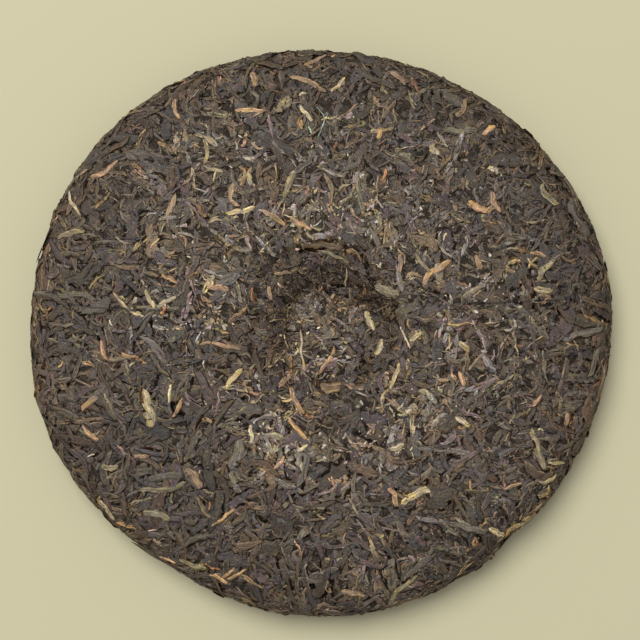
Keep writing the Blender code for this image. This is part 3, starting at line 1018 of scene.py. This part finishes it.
def leaf_finish(name, stops, patch, patch_share=0.6, streak=0.4, edge_highlight=0.3, margins=0.5, gloss=0.6):
    """Leaf of these tones, with patches of another colour and streaks along it; folds painted as a light line
    with a line of painted shadow beside it, a painted highlight inside the edge and a painted shadow along
    it.
    """
    material, build, shader = new_finish(name)
    grain, gap, gaping = (build.kept(name) for name in ("grain", "gap", "gaping"))
    place = build.add("ShaderNodeTexCoord").outputs["Object"]
    along, across, _ = build.split(build.add("ShaderNodeUVMap", uv_map="leaf").outputs[0])
    lengthwise = build.xyz(*(build.times(*pair) for pair in zip((along, across, grain), STREAK_WAVES)))
    streaks = noise_share(build, lengthwise, 1.0, 3.0, 0.65)
    crumple = noise_share(build, place, CRUMPLE_WAVES, 4.0, 0.65)
    folds = noise_share(build, build.vector("MULTIPLY", lengthwise, FOLD_WAVES), 1.0, 1.0, 0.5)
    flecks = noise_share(build, place, FLECK_WAVES, 2.0, 0.5)
    # How clear a place is of the painted edge shadow: 0 at the leaf's edge and 1 further in; where leaves lie
    # tight the shadow stays fainter.
    inside = build.math(
        "MAXIMUM",
        build.spread(gap, *EDGE_SHADOW_GAPS, 0.0, 1.0),
        build.spread(gaping, 0.0, 0.5, TIGHT_EDGE_SHADOW, 0.0),
    )
    colour = leaf_colour(build, stops, patch, patch_share, margins, place, grain, gap, inside)

    def off(share, middle):
        return build.math("ABSOLUTE", build.minus(share, middle))

    # Painted light and shade are multiplied in here with the leaf's own streaks, crumples and flecks: a
    # highlight near the edge, a light line on the folds with a line of painted shadow beside it, and the
    # creases' painted hairlines.
    shade = build.times(
        build.spread(streaks, 0.34, 0.66, 1.0 - streak, 1.0 + streak),
        build.spread(crumple, 0.32, 0.68, 1.0 - CRUMPLE_SHADE, 1.0 + CRUMPLE_SHADE),
        build.plus(build.spread(flecks, *FLECK_SPREAD, 0.0, FLECK_AND_GLINT_LIGHT), 1.0),
        build.spread(gap, *EDGE_HIGHLIGHT_GAPS, 1.0 + edge_highlight, 1.0),
        build.spread(off(folds, FOLD), 0.0, FOLD_HALF, FOLD_HIGHLIGHT, 1.0),
        build.spread(off(folds, PLEAT), 0.0, PLEAT_HALF, PLEAT_SHADOW, 1.0),
        crease_shade(build, place),
    )
    wrinkles = build.plus(streaks, build.times(crumple, 1.5))
    relief = build.add("ShaderNodeBump", {"Height": wrinkles, "Strength": 1.0, "Distance": RELIEF})
    build.put(shader.inputs["Base Color"], build.scaled(colour, shade))
    build.put(shader.inputs["Roughness"], build.spread(streaks, 0.3, 0.7, *ROUGHNESS))
    build.put(shader.inputs["Specular IOR Level"], build.spread(inside, 0.0, 1.0, EDGE_GLOSS, gloss))
    build.put(shader.inputs["Normal"], relief.outputs[0])
    return material


# %% The colours and the finishes of all kinds
# Casts of colour that single leaves have: plum, slate, neutral, green and rust.
LEAF_CASTS = (
    (0.0, (255, 225, 247)), (0.25, (229, 237, 255)), (0.5, (252, 249, 248)), (0.66, (246, 251, 213)),
    (0.82, (255, 231, 197)), (1.0, (253, 222, 193)),
)
DARK_LEAF = (
    (0.0, (52, 43, 33)), (0.45, (70, 62, 54)), (0.7, (82, 74, 65)), (0.87, (110, 101, 90)),
    (1.0, (146, 136, 120)),
)
DARKER_LEAF = ((0.0, (48, 41, 33)), (0.55, (66, 59, 53)), (0.85, (82, 74, 66)), (1.0, (114, 105, 92)))
SCRAP_LEAF = (
    (0.0, (53, 44, 34)), (0.5, (74, 66, 58)), (0.74, (95, 86, 76)), (0.88, (130, 121, 105)),
    (1.0, (174, 164, 142)),
)
OLIVE_LEAF = ((0.0, (82, 74, 56)), (0.5, (112, 102, 78)), (0.8, (142, 127, 97)), (1.0, (181, 160, 119)))
AMBER_LEAF = ((0.0, (100, 82, 64)), (0.4, (134, 110, 84)), (0.75, (158, 124, 93)), (1.0, (190, 152, 112)))
STRAW_STEM = ((0.0, (122, 108, 82)), (0.5, (158, 141, 110)), (1.0, (203, 187, 154)))
# Crumb tones; the palest, near-white crumbs are partly real pale crumbs and partly painted glints.
CRUMB_AND_GLINT = (
    (0.0, (54, 46, 38)), (0.5, (76, 68, 61)), (0.72, (104, 94, 82)), (0.9, (144, 131, 110)),
    (1.0, (210, 201, 178)),
)
STRAY_THREAD = ((0.0, (150, 166, 154)), (1.0, (186, 206, 194)))
KNOT_FIBRE = ((0.0, (48, 41, 35)), (0.6, (74, 64, 53)), (0.82, (104, 91, 73)), (1.0, (156, 140, 112)))
FINISHES = {
    "broad_leaves": leaf_finish("broad_leaf", DARKER_LEAF, (98, 83, 64), 0.6, 0.3, 0.2),
    "large_strands": leaf_finish("large_strand", DARK_LEAF, (98, 81, 61), 0.55, 0.35),
    "medium_strands": leaf_finish("medium_strand", DARK_LEAF, (98, 82, 62), 0.55, 0.4),
    "fine_strands": leaf_finish("fine_strand", SCRAP_LEAF, (104, 88, 68), 0.6, 0.3),
    "leaf_scraps": leaf_finish("leaf_scrap", SCRAP_LEAF, (78, 66, 56), 0.8, 0.4),
    "olive_strands": leaf_finish("olive_strand", OLIVE_LEAF, (84, 74, 58), 0.9, 0.5, 0.5),
    "amber_tips": leaf_finish("amber_tip", AMBER_LEAF, (90, 74, 60), 0.8, 0.5, 0.3),
    "straw_stems": leaf_finish("straw_stem", STRAW_STEM, (112, 96, 74), 0.8, 0.4, 0.1, 0.0),
    "knot_fibres": leaf_finish("knot_fibre", KNOT_FIBRE, (112, 92, 64), 0.6, 0.3, 0.2),
    "leaf_crumbs": leaf_finish("leaf_crumb", CRUMB_AND_GLINT, (126, 108, 80), 0.8, 0.0, 0.0, 0.0),
    "stray_thread": leaf_finish("stray_thread", STRAY_THREAD, (120, 130, 124), 0.2, 0.1, 0.0, 0.0),
}
print("finishes:", ", ".join(FINISHES))

# %% [markdown]
# ## Leaves with a place of their own
# Some leaves are what the eye remembers of this cake: bright amber tips, golden strips, long dark
# leaves on the rim, a fan of tips low on the left. They are placed one by one, where they lie on the
# real cake, in millimetres from its middle. Each row says where the leaf starts and ends, its width, how
# far it bends to the left on its way, in radians, and its tone.

# %% Placed leaves: (start x, start y, end x, end y, width, bend, tone)
PLACED_LEAVES = {
    "broad_leaves": (
        (58.5, 58.5, 70.5, 58.5, 6.2, 0.1, -0.3), (-76.0, 65.0, -61.0, 66.5, 4.6, -0.2, -0.3),
        (-82.0, 57.5, -72.0, 63.5, 5.0, -0.3, -0.2), (11.0, 97.0, 21.5, 86.0, 5.2, -0.7, -0.3),
        (-37.5, -38.5, -37.0, -56.5, 4.6, 0.1, -0.1), (-34.0, -54.0, -38.0, -70.0, 5.0, -0.3, -0.1),
        (63.0, 14.5, 71.5, 22.5, 6.0, 0.2, -0.2), (-27.0, -36.5, -31.0, -48.0, 4.6, -0.3, 0.95),
        (86.0, 47.0, 94.0, 31.5, 5.0, 0.3, 0.7), (42.0, 82.0, 49.5, 77.5, 6.0, -0.3, 0.7),
        (36.5, -58.5, 43.5, -59.5, 5.4, 0.2, -0.1),
    ),
    "large_strands": (
        (-101.5, 13.0, -75.0, 10.0, 2.4, -0.2, 0.75), (-30.5, -47.5, -26.5, -56.0, 3.0, 0.3, 0.8),
        (-59.5, -51.0, -46.0, -49.0, 3.6, 0.1, 0.7), (29.5, -85.5, 38.5, -77.0, 3.2, 0.3, 0.6),
        (45.5, -66.5, 58.0, -69.5, 3.0, -0.4, 0.78), (82.5, -3.5, 99.0, 0.5, 3.0, 0.1, 0.78),
    ),
    "olive_strands": (
        (27.5, -60.0, 38.5, -54.5, 3.2, -0.9, 1.0), (-32.5, 40.0, -21.5, 42.5, 2.2, 0.1, 1.0),
        (-61.5, -62.5, -50.5, -65.0, 3.4, -0.2, 0.6), (-60.5, -19.5, -57.0, -33.5, 4.4, 0.2, 0.95),
        (41.5, 69.0, 55.0, 69.5, 3.2, 0.1, 0.3), (72.5, -33.0, 77.5, -49.0, 3.2, 0.3, 0.7),
        (13.5, 53.0, 14.5, 38.0, 2.4, 0.0, 0.35), (-8.5, 55.0, -13.0, 45.0, 2.8, -0.3, 0.75),
        (-16.0, 75.0, -9.5, 80.0, 4.6, 0.2, 0.6), (-40.0, 66.5, -39.5, 56.5, 1.8, -0.6, 0.8),
        (-40.0, 56.5, -32.5, 54.0, 1.6, 0.6, 0.8), (-63.0, -55.0, -44.5, -51.5, 2.4, 0.2, 0.4),
        (-26.0, -12.5, -32.0, -20.5, 2.2, 0.0, 1.0), (27.0, -10.5, 24.0, -20.5, 1.8, 0.1, 0.95),
        (47.0, -4.0, 51.0, -7.5, 2.4, -0.2, 0.95), (3.5, 81.5, 9.0, 87.5, 1.7, 0.1, 0.9),
        (75.0, 16.5, 81.0, 24.0, 2.6, -1.6, 0.75), (73.0, 14.5, 80.0, 14.0, 2.6, 0.6, 0.85),
        (77.0, 51.0, 83.0, 44.0, 2.4, 2.2, 0.6), (-77.0, -58.5, -71.5, -66.5, 2.8, -0.3, 0.9),
        (-69.0, -46.0, -75.0, -46.0, 2.6, -1.6, 0.8), (-91.0, 31.5, -80.0, 34.5, 2.2, -0.3, 0.7),
        (34.5, -83.5, 23.0, -96.0, 2.4, 0.3, 0.5), (58.0, -68.0, 64.0, -72.0, 2.6, -0.4, 0.95),
        (-49.0, -79.0, -38.5, -82.5, 2.4, 0.2, 0.7), (18.5, 15.5, 27.5, 12.5, 4.2, 0.3, 0.6),
        (-0.5, 27.5, 9.0, 24.0, 1.8, -0.2, 0.3), (18.5, -8.5, 21.5, -2.5, 2.2, 0.2, 0.9),
    ),
    "amber_tips": (
        (35.0, 14.5, 45.5, 24.0, 2.5, -1.0, 0.85), (-39.0, 14.0, -30.5, 13.5, 2.6, -0.9, 0.85),
        (-20.0, 41.5, -11.0, 35.5, 2.2, 0.2, 0.8), (-10.5, 39.0, -2.5, 34.0, 2.2, -0.1, 0.75),
        (-29.5, 75.5, -18.5, 75.0, 2.0, -0.1, 0.85), (-80.0, 53.0, -69.0, 59.0, 2.3, 0.7, 0.65),
        (-49.5, 80.5, -48.0, 72.0, 2.0, 0.4, 0.75), (-37.5, -67.5, -29.0, -60.5, 1.6, 0.0, 0.95),
        (-16.0, -47.5, -12.0, -42.5, 1.7, 0.3, 0.8), (-11.0, -29.0, -4.0, -37.5, 1.9, -0.2, 0.95),
        (-45.5, -47.0, -40.5, -54.5, 4.0, -0.2, 0.35), (-38.5, -84.0, -31.5, -87.5, 1.8, -0.3, 0.85),
        (-34.0, -85.5, -29.0, -81.0, 1.5, 0.2, 0.6), (-32.5, -86.0, -25.0, -81.5, 1.6, 0.1, 0.55),
        (-82.0, -32.5, -76.0, -37.5, 1.6, 0.0, 0.8), (-81.0, -35.0, -75.5, -37.5, 1.5, 0.1, 0.7),
        (-75.5, -22.5, -81.5, -28.0, 2.6, 0.8, 0.45), (-75.0, -3.0, -72.5, -10.5, 1.9, 0.2, 0.75),
        (-68.0, -7.5, -62.5, -8.5, 1.7, 1.3, 0.75), (5.0, -5.0, -0.5, -15.5, 1.7, -0.5, 0.8),
        (-42.0, -5.5, -26.0, -7.0, 1.6, -0.7, 0.6), (50.5, 80.5, 47.0, 73.0, 2.6, -0.3, 0.5),
        (56.0, 67.0, 61.0, 70.0, 2.6, -1.0, 0.9), (59.0, 48.0, 62.0, 40.0, 2.4, 0.8, 0.7),
        (50.0, 44.0, 58.0, 41.0, 3.2, 0.2, 0.8), (53.0, 26.0, 55.0, 20.5, 2.3, -0.3, 0.8),
        (19.5, 65.5, 21.0, 69.0, 2.2, 0.4, 0.85), (47.0, -14.0, 49.5, -19.0, 2.1, -0.2, 0.85),
        (23.0, -53.5, 26.0, -60.5, 2.4, -1.2, 0.75), (85.0, -28.0, 85.0, -33.0, 2.2, 0.0, 0.8),
        (-24.0, 89.5, -22.0, 83.5, 3.0, -0.3, 0.5), (-11.0, 87.5, 3.0, 81.5, 2.3, -0.2, 0.5),
        (-6.0, 91.5, 2.5, 96.0, 1.8, 0.3, 0.55), (24.0, 89.5, 30.0, 84.5, 2.1, 0.0, 0.75),
        (-56.0, -78.5, -49.5, -80.5, 1.8, 0.2, 0.8), (-64.0, -42.5, -58.0, -42.5, 1.8, 0.6, 0.7),
        (71.5, 26.5, 78.0, 25.0, 1.7, -0.8, 0.65), (-54.0, 19.5, -48.0, 16.0, 1.8, 0.4, 0.7),
        (62.5, -54.5, 70.0, -52.5, 1.6, -0.4, 0.65), (7.0, -89.5, 16.0, -92.0, 2.6, -0.5, 0.4),
        (27.5, 26.5, 27.0, 19.5, 2.2, 0.2, 0.5), (-7.0, 29.5, 8.5, 28.5, 4.2, -0.2, 0.1),
        (-14.0, -19.0, -9.5, -14.5, 2.4, -0.3, 0.55), (-10.0, -18.5, -5.0, -29.0, 2.2, 0.6, 0.75),
        (-0.5, -18.5, 8.0, -18.5, 3.6, 0.2, 0.35), (-16.0, 19.5, -9.0, 19.5, 1.4, -0.4, 0.45),
        (-17.0, 15.5, -16.5, 10.0, 1.8, 0.3, 0.4),
    ),
    "straw_stems": (
        (-23.5, -31.5, -23.0, -39.0, 1.7, 0.0, 0.8), (-4.0, -38.5, -8.0, -41.0, 1.3, -0.2, 0.8),
        (-50.5, -18.0, -51.5, -25.0, 1.5, 0.3, 0.8), (9.0, 21.5, 9.0, 14.5, 0.9, 0.0, 0.5),
        (16.0, 7.0, 18.5, -0.5, 2.4, 0.3, 0.75), (-6.5, 1.0, -5.0, -15.0, 1.4, -0.1, 0.55),
        (57.5, 56.0, 61.5, 53.5, 2.4, -0.4, 0.85), (37.5, 63.5, 41.0, 60.0, 2.8, 0.2, 0.5),
        (78.0, -45.5, 85.5, -46.0, 1.7, -0.2, 0.5), (75.0, -51.5, 81.5, -49.0, 1.7, 2.2, 0.4),
        (17.0, -71.0, 20.5, -78.5, 1.8, 0.3, 0.5), (-71.0, 13.5, -63.5, 6.5, 1.4, 0.5, 0.5),
        (-59.5, 14.5, -56.0, 7.0, 2.0, 0.2, 0.6), (-56.0, 7.5, -48.5, 12.0, 1.9, 0.1, 0.6),
        (-7.0, 77.5, -2.5, 71.0, 1.8, 0.3, 0.75), (27.5, 2.0, 31.0, -6.5, 0.9, 0.3, 0.95),
        (30.5, -4.0, 35.0, -0.5, 1.8, -0.3, 0.6), (46.0, -29.5, 51.5, -32.5, 2.4, 0.1, 0.7),
        (23.5, -40.5, 29.0, -38.5, 2.2, 0.2, 0.7), (-24.5, 54.0, -23.5, 49.0, 2.2, 0.1, 0.6),
        (-87.5, 49.0, -82.0, 39.0, 1.6, 0.7, 0.7), (25.0, 61.5, 33.0, 63.0, 0.4, -0.5, 1.0),
    ),
    "stray_thread": (
        (-2.0, 77.5, -1.5, 65.0, 0.5, -1.7, 0.5), (-4.0, 70.0, -2.5, 67.0, 0.8, 0.1, 0.6),
    ),
}
print("placed leaves:", {kind: len(rows) for kind, rows in PLACED_LEAVES.items()})

# %% Make a placed leaf
PLACED_ROWS = 8
PLACED_RING = 5
PLACED_LIFT = 0.4 * MM
LEAST_ARCH = 0.06
PLACED_SHARES = {"tint": 0.3, "browned": 0.0, "gaping": 0.5}


def chart_place(x, y):
    """Where a place on the upper face lies on the upper chart."""
    angle, radius = math.atan2(y, x), math.hypot(x, y)
    arcs = np.linspace(0.0, ARC_RIM, 400)
    radii = np.interp(arcs, TRACE[:, 0], TRACE[:, 1])
    radii = radii * (1.0 + (outline_share(angle) - 1.0) * smooth(radii / FOOT_RADIUS))
    arc = np.interp(radius, radii, arcs)
    return arc * np.array([math.cos(angle), math.sin(angle)])


def placed_leaf(kind, number, start_x, start_y, end_x, end_y, width, bend, tone):
    """One leaf between two places on the chart, with its own tone and no cast."""
    draw = np.random.default_rng([SEED, len(kind), number])
    start, end = chart_place(start_x * MM, start_y * MM), chart_place(end_x * MM, end_y * MM)
    half = max(abs(0.5 * bend), 1.0e-3)
    length = np.linalg.norm(end - start) * half / math.sin(half)
    leaf = pressed_leaf(
        f"placed_{kind}_{number:02d}", draw, length, width * MM, PLACED_ROWS, PLACED_RING,
        arch=max(LEAST_ARCH, PLACED_LIFT / (width * MM)), fold=0.08, bend=bend, twist=0.3, blunt=0.5,
    )
    tips = [np.array(leaf.vertices[i].co[:2]) for i in (0, len(leaf.vertices) - 1)]
    turn = math.atan2(*(end - start)[::-1]) - math.atan2(*(tips[1] - tips[0])[::-1])
    leaf.transform(
        Matrix.Translation((*(0.5 * (start + end)), 0.0))
        @ Matrix.Rotation(turn, 4, "Z")
        @ Matrix.Translation((*(-0.5 * (tips[0] + tips[1])), 0.0))
    )
    # A grain in the middle of one of the casts' rounds gives no cast, and differs from leaf to leaf.
    grain = (draw.integers(int(CASTS)) + 0.5) / CASTS
    for name, share in {"tone": tone, "grain": grain, **PLACED_SHARES}.items():
        set_attribute(leaf, name, np.full(len(leaf.vertices), share))
    return bpy.data.objects.new(leaf.name, leaf)


# %% [markdown]
# ## Pressing the leaves on
# The layers go down in the order below, coarse leaves first and crumbs last. Each is laid on both charts,
# over everything that lies there already, and a name can come back in a later layer, because kinds lie
# over and under each other in the real cake. The row "placed" says where the leaves with a place of
# their own go in, on the upper face: under the last crumbs, and over all else.

# %% The layers: (kind, where, leaves for each square metre, smallest, largest, tip, roll, stiffness)
LAYERS = (
    ("broad_leaves", "everywhere", 8.0e3, 0.8, 1.25, 2.0, 3.0, 3),
    ("large_strands", "everywhere", 11.0e3, 0.8, 1.15, 3.0, 10.0, 3),
    ("leaf_scraps", "everywhere", 24.0e3, 0.8, 1.3, 5.0, 10.0, 2),
    ("medium_strands", "everywhere", 20.0e3, 0.8, 1.25, 3.0, 12.0, 3),
    ("fine_strands", "tight", 36.0e3, 0.8, 1.3, 4.0, 14.0, 2),
    ("leaf_scraps", "tight", 18.0e3, 0.7, 1.2, 5.0, 10.0, 2),
    ("broad_leaves", "everywhere", 4.5e3, 0.7, 1.1, 2.0, 3.0, 3),
    ("large_strands", "everywhere", 7.0e3, 0.8, 1.1, 3.0, 10.0, 3),
    ("medium_strands", "everywhere", 16.0e3, 0.8, 1.2, 3.0, 12.0, 3),
    ("fine_strands", "tight", 26.0e3, 0.7, 1.2, 4.0, 14.0, 2),
    ("olive_strands", "everywhere", 4.0e3, 0.8, 1.1, 3.0, 12.0, 3),
    ("leaf_crumbs", "tight", 80.0e3, 0.6, 1.3, 15.0, 15.0, 1),
    ("broad_leaves", "everywhere", 2.2e3, 0.6, 1.0, 2.0, 3.0, 3),
    ("leaf_scraps", "tight", 9.0e3, 0.7, 1.1, 5.0, 10.0, 2),
    ("large_strands", "loose", 11.0e3, 0.9, 1.25, 3.0, 10.0, 3),
    ("medium_strands", "loose", 9.0e3, 0.8, 1.2, 3.0, 12.0, 3),
    ("amber_tips", "everywhere", 2.6e3, 0.6, 1.2, 4.0, 14.0, 3),
    ("olive_strands", "everywhere", 2.6e3, 0.5, 1.1, 4.0, 12.0, 3),
    ("straw_stems", "everywhere", 3.5e3, 0.6, 1.2, 4.0, 14.0, 3),
    ("broad_leaves", "loose", 1.5e3, 0.7, 1.1, 3.0, 6.0, 3),
    ("broad_leaves", "rim", 1.6e3, 0.7, 1.1, 6.0, 14.0, 3),
    ("large_strands", "rim", 7.0e3, 0.8, 1.3, 7.0, 22.0, 3),
    ("olive_strands", "rim", 3.0e3, 0.7, 1.1, 6.0, 20.0, 3),
    ("leaf_scraps", "hollow", 40.0e3, 0.45, 0.8, 6.0, 14.0, 1),
    ("fine_strands", "everywhere", 8.0e3, 0.6, 1.1, 4.0, 14.0, 2),
    ("fine_strands", "torn", 30.0e3, 0.4, 0.8, 6.0, 20.0, 1),
    ("knot_fibres", "torn", 240.0e3, 0.7, 1.3, 6.0, 20.0, 1),
    ("leaf_crumbs", "tight", 40.0e3, 0.6, 1.2, 15.0, 15.0, 1),
    ("placed", "upper"),
    ("leaf_crumbs", "everywhere", 60.0e3, 0.35, 0.7, 15.0, 15.0, 1),
)


PLACED_STIFFNESS = 3
FIRST_SEED = SEED + 15
SEED_STEP = 40


def place_all(below, name):
    """The leaves of PLACED_LEAVES as one flat mesh for each kind."""
    for kind, rows in PLACED_LEAVES.items():
        leaves = bpy.data.collections.new(f"placed_{kind}")
        for i, row in enumerate(rows):
            leaves.objects.link(placed_leaf(kind, i, *row))
        yield kind, run_tree(
            PLACE_LEAVES, charts["upper"].data, f"{name}_{kind}",
            leaves=leaves, below=below, stiffness=PLACED_STIFFNESS, material=FINISHES[kind],
        )


def lay_one(below, name, order, kind, where, density, smallest, largest, tip, roll, stiffness):
    """One scattered layer as a flat mesh."""
    leaves = LEAF_KINDS[kind]
    return run_tree(
        LAY_LEAVES, below.objects[0].data, name,
        leaves=leaves, below=below, variants=len(leaves.objects), where=where, density=density,
        seed=FIRST_SEED + SEED_STEP * order, smallest=smallest, largest=largest,
        tip=tip, roll=roll, stiffness=stiffness, material=FINISHES[kind],
    )


def lay_all(side, chart):
    """Lays every layer on one chart, and returns the flat meshes with their kinds."""
    below = bpy.data.collections.new(side + "_below")
    below.objects.link(chart)
    flat = []
    for order, (kind, where, *values) in enumerate(LAYERS):
        name = f"{side}_{order:02d}_{kind}"
        if kind == "placed":
            layers = list(place_all(below, name)) if where == side else []
        else:
            layers = [(kind, lay_one(below, name, order, kind, where, *values))]
        for layer_kind, laid in layers:
            if not laid.vertices:
                continue
            if layer_kind != "leaf_crumbs":
                below.objects.link(bpy.data.objects.new(name, laid))
            flat.append((layer_kind, laid))
            corners = np.empty(3 * len(laid.vertices), dtype=np.float32)
            laid.vertices.foreach_get("co", corners)
            top = np.percentile(corners[2::3], 95) / MM
            print(f"{laid.name}: {len(laid.polygons)} faces, tops at {top:.2f} mm")
    return flat


flat_layers = {side: lay_all(side, chart) for side, chart in charts.items()}

# %% Wrap the layers on the cake and join them to one piece of each kind


def join_pieces(name, objects):
    """Joins objects of one kind to one piece."""
    first = objects[0]
    for piece in objects:
        bpy.context.scene.collection.objects.link(piece)
    if len(objects) > 1:
        chosen = dict(selected_objects=objects, selected_editable_objects=objects)
        with bpy.context.temp_override(active_object=first, object=first, **chosen):
            bpy.ops.object.join()
    first.name = name
    return first


pieces = {}
for kind in FINISHES:
    wrapped = []
    for side, layers in flat_layers.items():
        for layer_kind, laid in layers:
            if layer_kind == kind:
                mesh = run_tree(WRAP_ON_CAKE, laid, laid.name, chart=charts[side], material=FINISHES[kind])
                wrapped.append(bpy.data.objects.new(mesh.name, mesh))
    pieces[kind] = join_pieces(kind, wrapped)
    mesh = pieces[kind].data
    mesh.calc_loop_triangles()
    print(f"{kind}: {len(mesh.loop_triangles)} triangles")

# %% [markdown]
# ## The body under the leaves
# Between the leaves the eye sees darker, smaller scraps that are packed deeper. So a closed body of the
# cake's form lies a little below the leaf tops, rough and darker than they are; part of that darkness is
# painted shade of the crevices where it shows, and its gaps carry painted shade too. It stands for the
# packed body, and the leaf kinds above are its surface.

# %% The body
BODY_SINK = 0.65 * MM
BODY_ROUGHNESS = 0.35 * MM
BODY_RINGS, BODY_SIDES = 130, 240


def make_body():
    """The cake's form as one closed skin, sunk below the leaf tops and roughened."""
    _, place, facing = chart_arrays(ARC_END - 1.0 * MM, True, BODY_RINGS, BODY_SIDES)
    faces = grid_faces(BODY_RINGS, BODY_SIDES)
    faces.append(tuple(len(place) - 1 - i for i in range(BODY_SIDES)))
    rough = [noise.noise(Vector(p) * 700.0) + 0.6 * noise.noise(Vector(p) * 1500.0) for p in place]
    points = place + facing * (BODY_ROUGHNESS * np.array(rough)[:, None] - BODY_SINK)
    mesh = mesh_from("cake_body", points, faces)
    mesh.shade_smooth()
    return bpy.data.objects.new("cake_body", mesh)


# %% The body's finish, and the body
# Tones of the packed body, darker than the leaves: partly painted shade of the crevices.
PACKED_LEAF_AND_SHADE = ((0.0, (36, 29, 22)), (0.5, (54, 46, 38)), (0.8, (70, 62, 53)), (1.0, (106, 93, 76)))
PACKED_WAVES, WARP_WAVES, GRAIN_WAVES = 620.0, 500.0, 1300.0
PACKED_WARP = 1.6 * MM
PACKED_GAP_SHADOW = 0.1


def packed_finish():
    """Small scraps pressed side by side: uneven cells of several browns, darkened as partly painted crevice
    shade, with painted shade in the gaps between them.
    """
    material, build, shader = new_finish("packed_leaf")
    place = build.add("ShaderNodeTexCoord").outputs["Object"]
    sockets = {"Vector": place, "Scale": WARP_WAVES, "Detail": 2.0}
    wander_colour = build.add("ShaderNodeTexNoise", sockets).outputs["Color"]
    centred = build.vector("SUBTRACT", wander_colour, (0.5, 0.5, 0.5))
    warped = build.vector("ADD", place, build.vector("MULTIPLY", centred, (PACKED_WARP,) * 3))
    sockets = {"Vector": warped, "Scale": PACKED_WAVES}
    cells = build.add("ShaderNodeTexVoronoi", sockets, feature="F1")
    gaps = build.add("ShaderNodeTexVoronoi", sockets, feature="DISTANCE_TO_EDGE")
    tone = build.split(cells.outputs["Color"])[0]
    grain = noise_share(build, place, GRAIN_WAVES, 3.0, 0.6)
    # Painted shade in the gaps between the cells and on the creases' hairlines, times the grain.
    shade = build.times(
        build.spread(gaps.outputs["Distance"], 0.0, PACKED_GAP_SHADOW, 0.4, 1.0),
        build.spread(grain, 0.3, 0.7, 0.75, 1.25),
        crease_shade(build, place),
    )
    build.put(shader.inputs["Base Color"], build.scaled(colour_row(build, tone, PACKED_LEAF_AND_SHADE), shade))
    shader.inputs["Roughness"].default_value = 0.8
    shader.inputs["Specular IOR Level"].default_value = 0.2
    relief = build.add("ShaderNodeBump", {"Height": grain, "Strength": 0.8, "Distance": RELIEF})
    build.put(shader.inputs["Normal"], relief.outputs[0])
    return material


body = make_body()
body.data.materials.append(packed_finish())
bpy.context.scene.collection.objects.link(body)
body.data.calc_loop_triangles()
print("cake_body:", len(body.data.loop_triangles), "triangles")

# %% [markdown]
# ## Floor, light and camera
# The cake lies on a plain pale floor. A wide soft light stands high at the upper left, as the shading of
# the hollow says, and a pale surround fills the shadows. The camera looks straight down from where the
# cake fills the picture as it does in the photograph.

# %% Floor
FLOOR_COLOUR = (184, 178, 147)
FLOOR_HALF = 1.5
FLOOR_LEVEL = -0.3 * MM

floor_signs = ((-1.0, -1.0), (1.0, -1.0), (1.0, 1.0), (-1.0, 1.0))
floor_corners = [(x * FLOOR_HALF, y * FLOOR_HALF, 0.0) for x, y in floor_signs]
floor = bpy.data.objects.new("floor", mesh_from("floor", floor_corners, [(0, 1, 2, 3)]))
floor.location.z = FLOOR_LEVEL
bpy.context.scene.collection.objects.link(floor)
floor_finish, _, floor_shader = new_finish("pale_floor")
floor_shader.inputs["Base Color"].default_value = screen_colour(*FLOOR_COLOUR)
floor_shader.inputs["Roughness"].default_value = 0.85
floor.data.materials.append(floor_finish)
floor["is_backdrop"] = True
print("floor:", 2.0 * FLOOR_HALF, "m wide")

# %% Light
KEY_DIRECTION = math.radians(122.0)
KEY_ELEVATION = math.radians(60.0)
KEY_DISTANCE = 2.6
KEY_SIZE = 1.7
KEY_POWER = 67.0
SURROUND_STRENGTH = 0.5

key_data = bpy.data.lights.new("key", "AREA")
key_data.shape = "DISK"
key_data.size = KEY_SIZE
key_data.energy = KEY_POWER
key = bpy.data.objects.new("key", key_data)
key.location = KEY_DISTANCE * Vector((
    math.cos(KEY_DIRECTION) * math.cos(KEY_ELEVATION),
    math.sin(KEY_DIRECTION) * math.cos(KEY_ELEVATION),
    math.sin(KEY_ELEVATION),
))
key.rotation_euler = (-key.location).to_track_quat("-Z", "Y").to_euler()
bpy.context.scene.collection.objects.link(key)

surround = bpy.data.worlds.new("surround")
surround.use_nodes = True
surround.node_tree.nodes["Background"].inputs["Color"].default_value = (1.0, 1.0, 1.0, 1.0)
surround.node_tree.nodes["Background"].inputs["Strength"].default_value = SURROUND_STRENGTH
bpy.context.scene.world = surround
bpy.context.scene.view_settings.view_transform = "Standard"
print("key light at, m:", [round(value, 2) for value in key.location])

# %% Camera
PICTURE_SIDE = 640
CAKE_CENTRE_PIXELS = (319.8, 330.3)
MEAN_RADIUS_PIXELS = 286.5
LENS = 80.0
SENSOR = 36.0

view_width = PICTURE_SIDE * CAKE_RADIUS / MEAN_RADIUS_PIXELS
pixel = view_width / PICTURE_SIDE
camera_data = bpy.data.cameras.new("camera")
camera_data.lens = LENS
camera_data.sensor_width = SENSOR
camera = bpy.data.objects.new("camera", camera_data)
widest_height = np.interp(ARC_RIM, TRACE[:, 0], TRACE[:, 2])
camera.location = (
    AXIS_X - (CAKE_CENTRE_PIXELS[0] - PICTURE_SIDE / 2) * pixel,
    AXIS_Y + (CAKE_CENTRE_PIXELS[1] - PICTURE_SIDE / 2) * pixel,
    widest_height + view_width * LENS / SENSOR,
)
bpy.context.scene.collection.objects.link(camera)
bpy.context.scene.camera = camera
print("camera height, mm:", round(camera.location.z / MM, 1))

# %% Every piece rides on the one body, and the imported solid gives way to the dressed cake
for piece in [body, *pieces.values()]:
    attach(piece, "root")
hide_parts("tea_cake")

# %% Compare the sizes, and finish
DRESSED_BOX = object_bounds()
[[list(corner) for corner in box] for box in (CAD_BOX, DRESSED_BOX)]
print("dressed box, mm:", [[round(v / MM, 1) for v in corner] for corner in DRESSED_BOX])
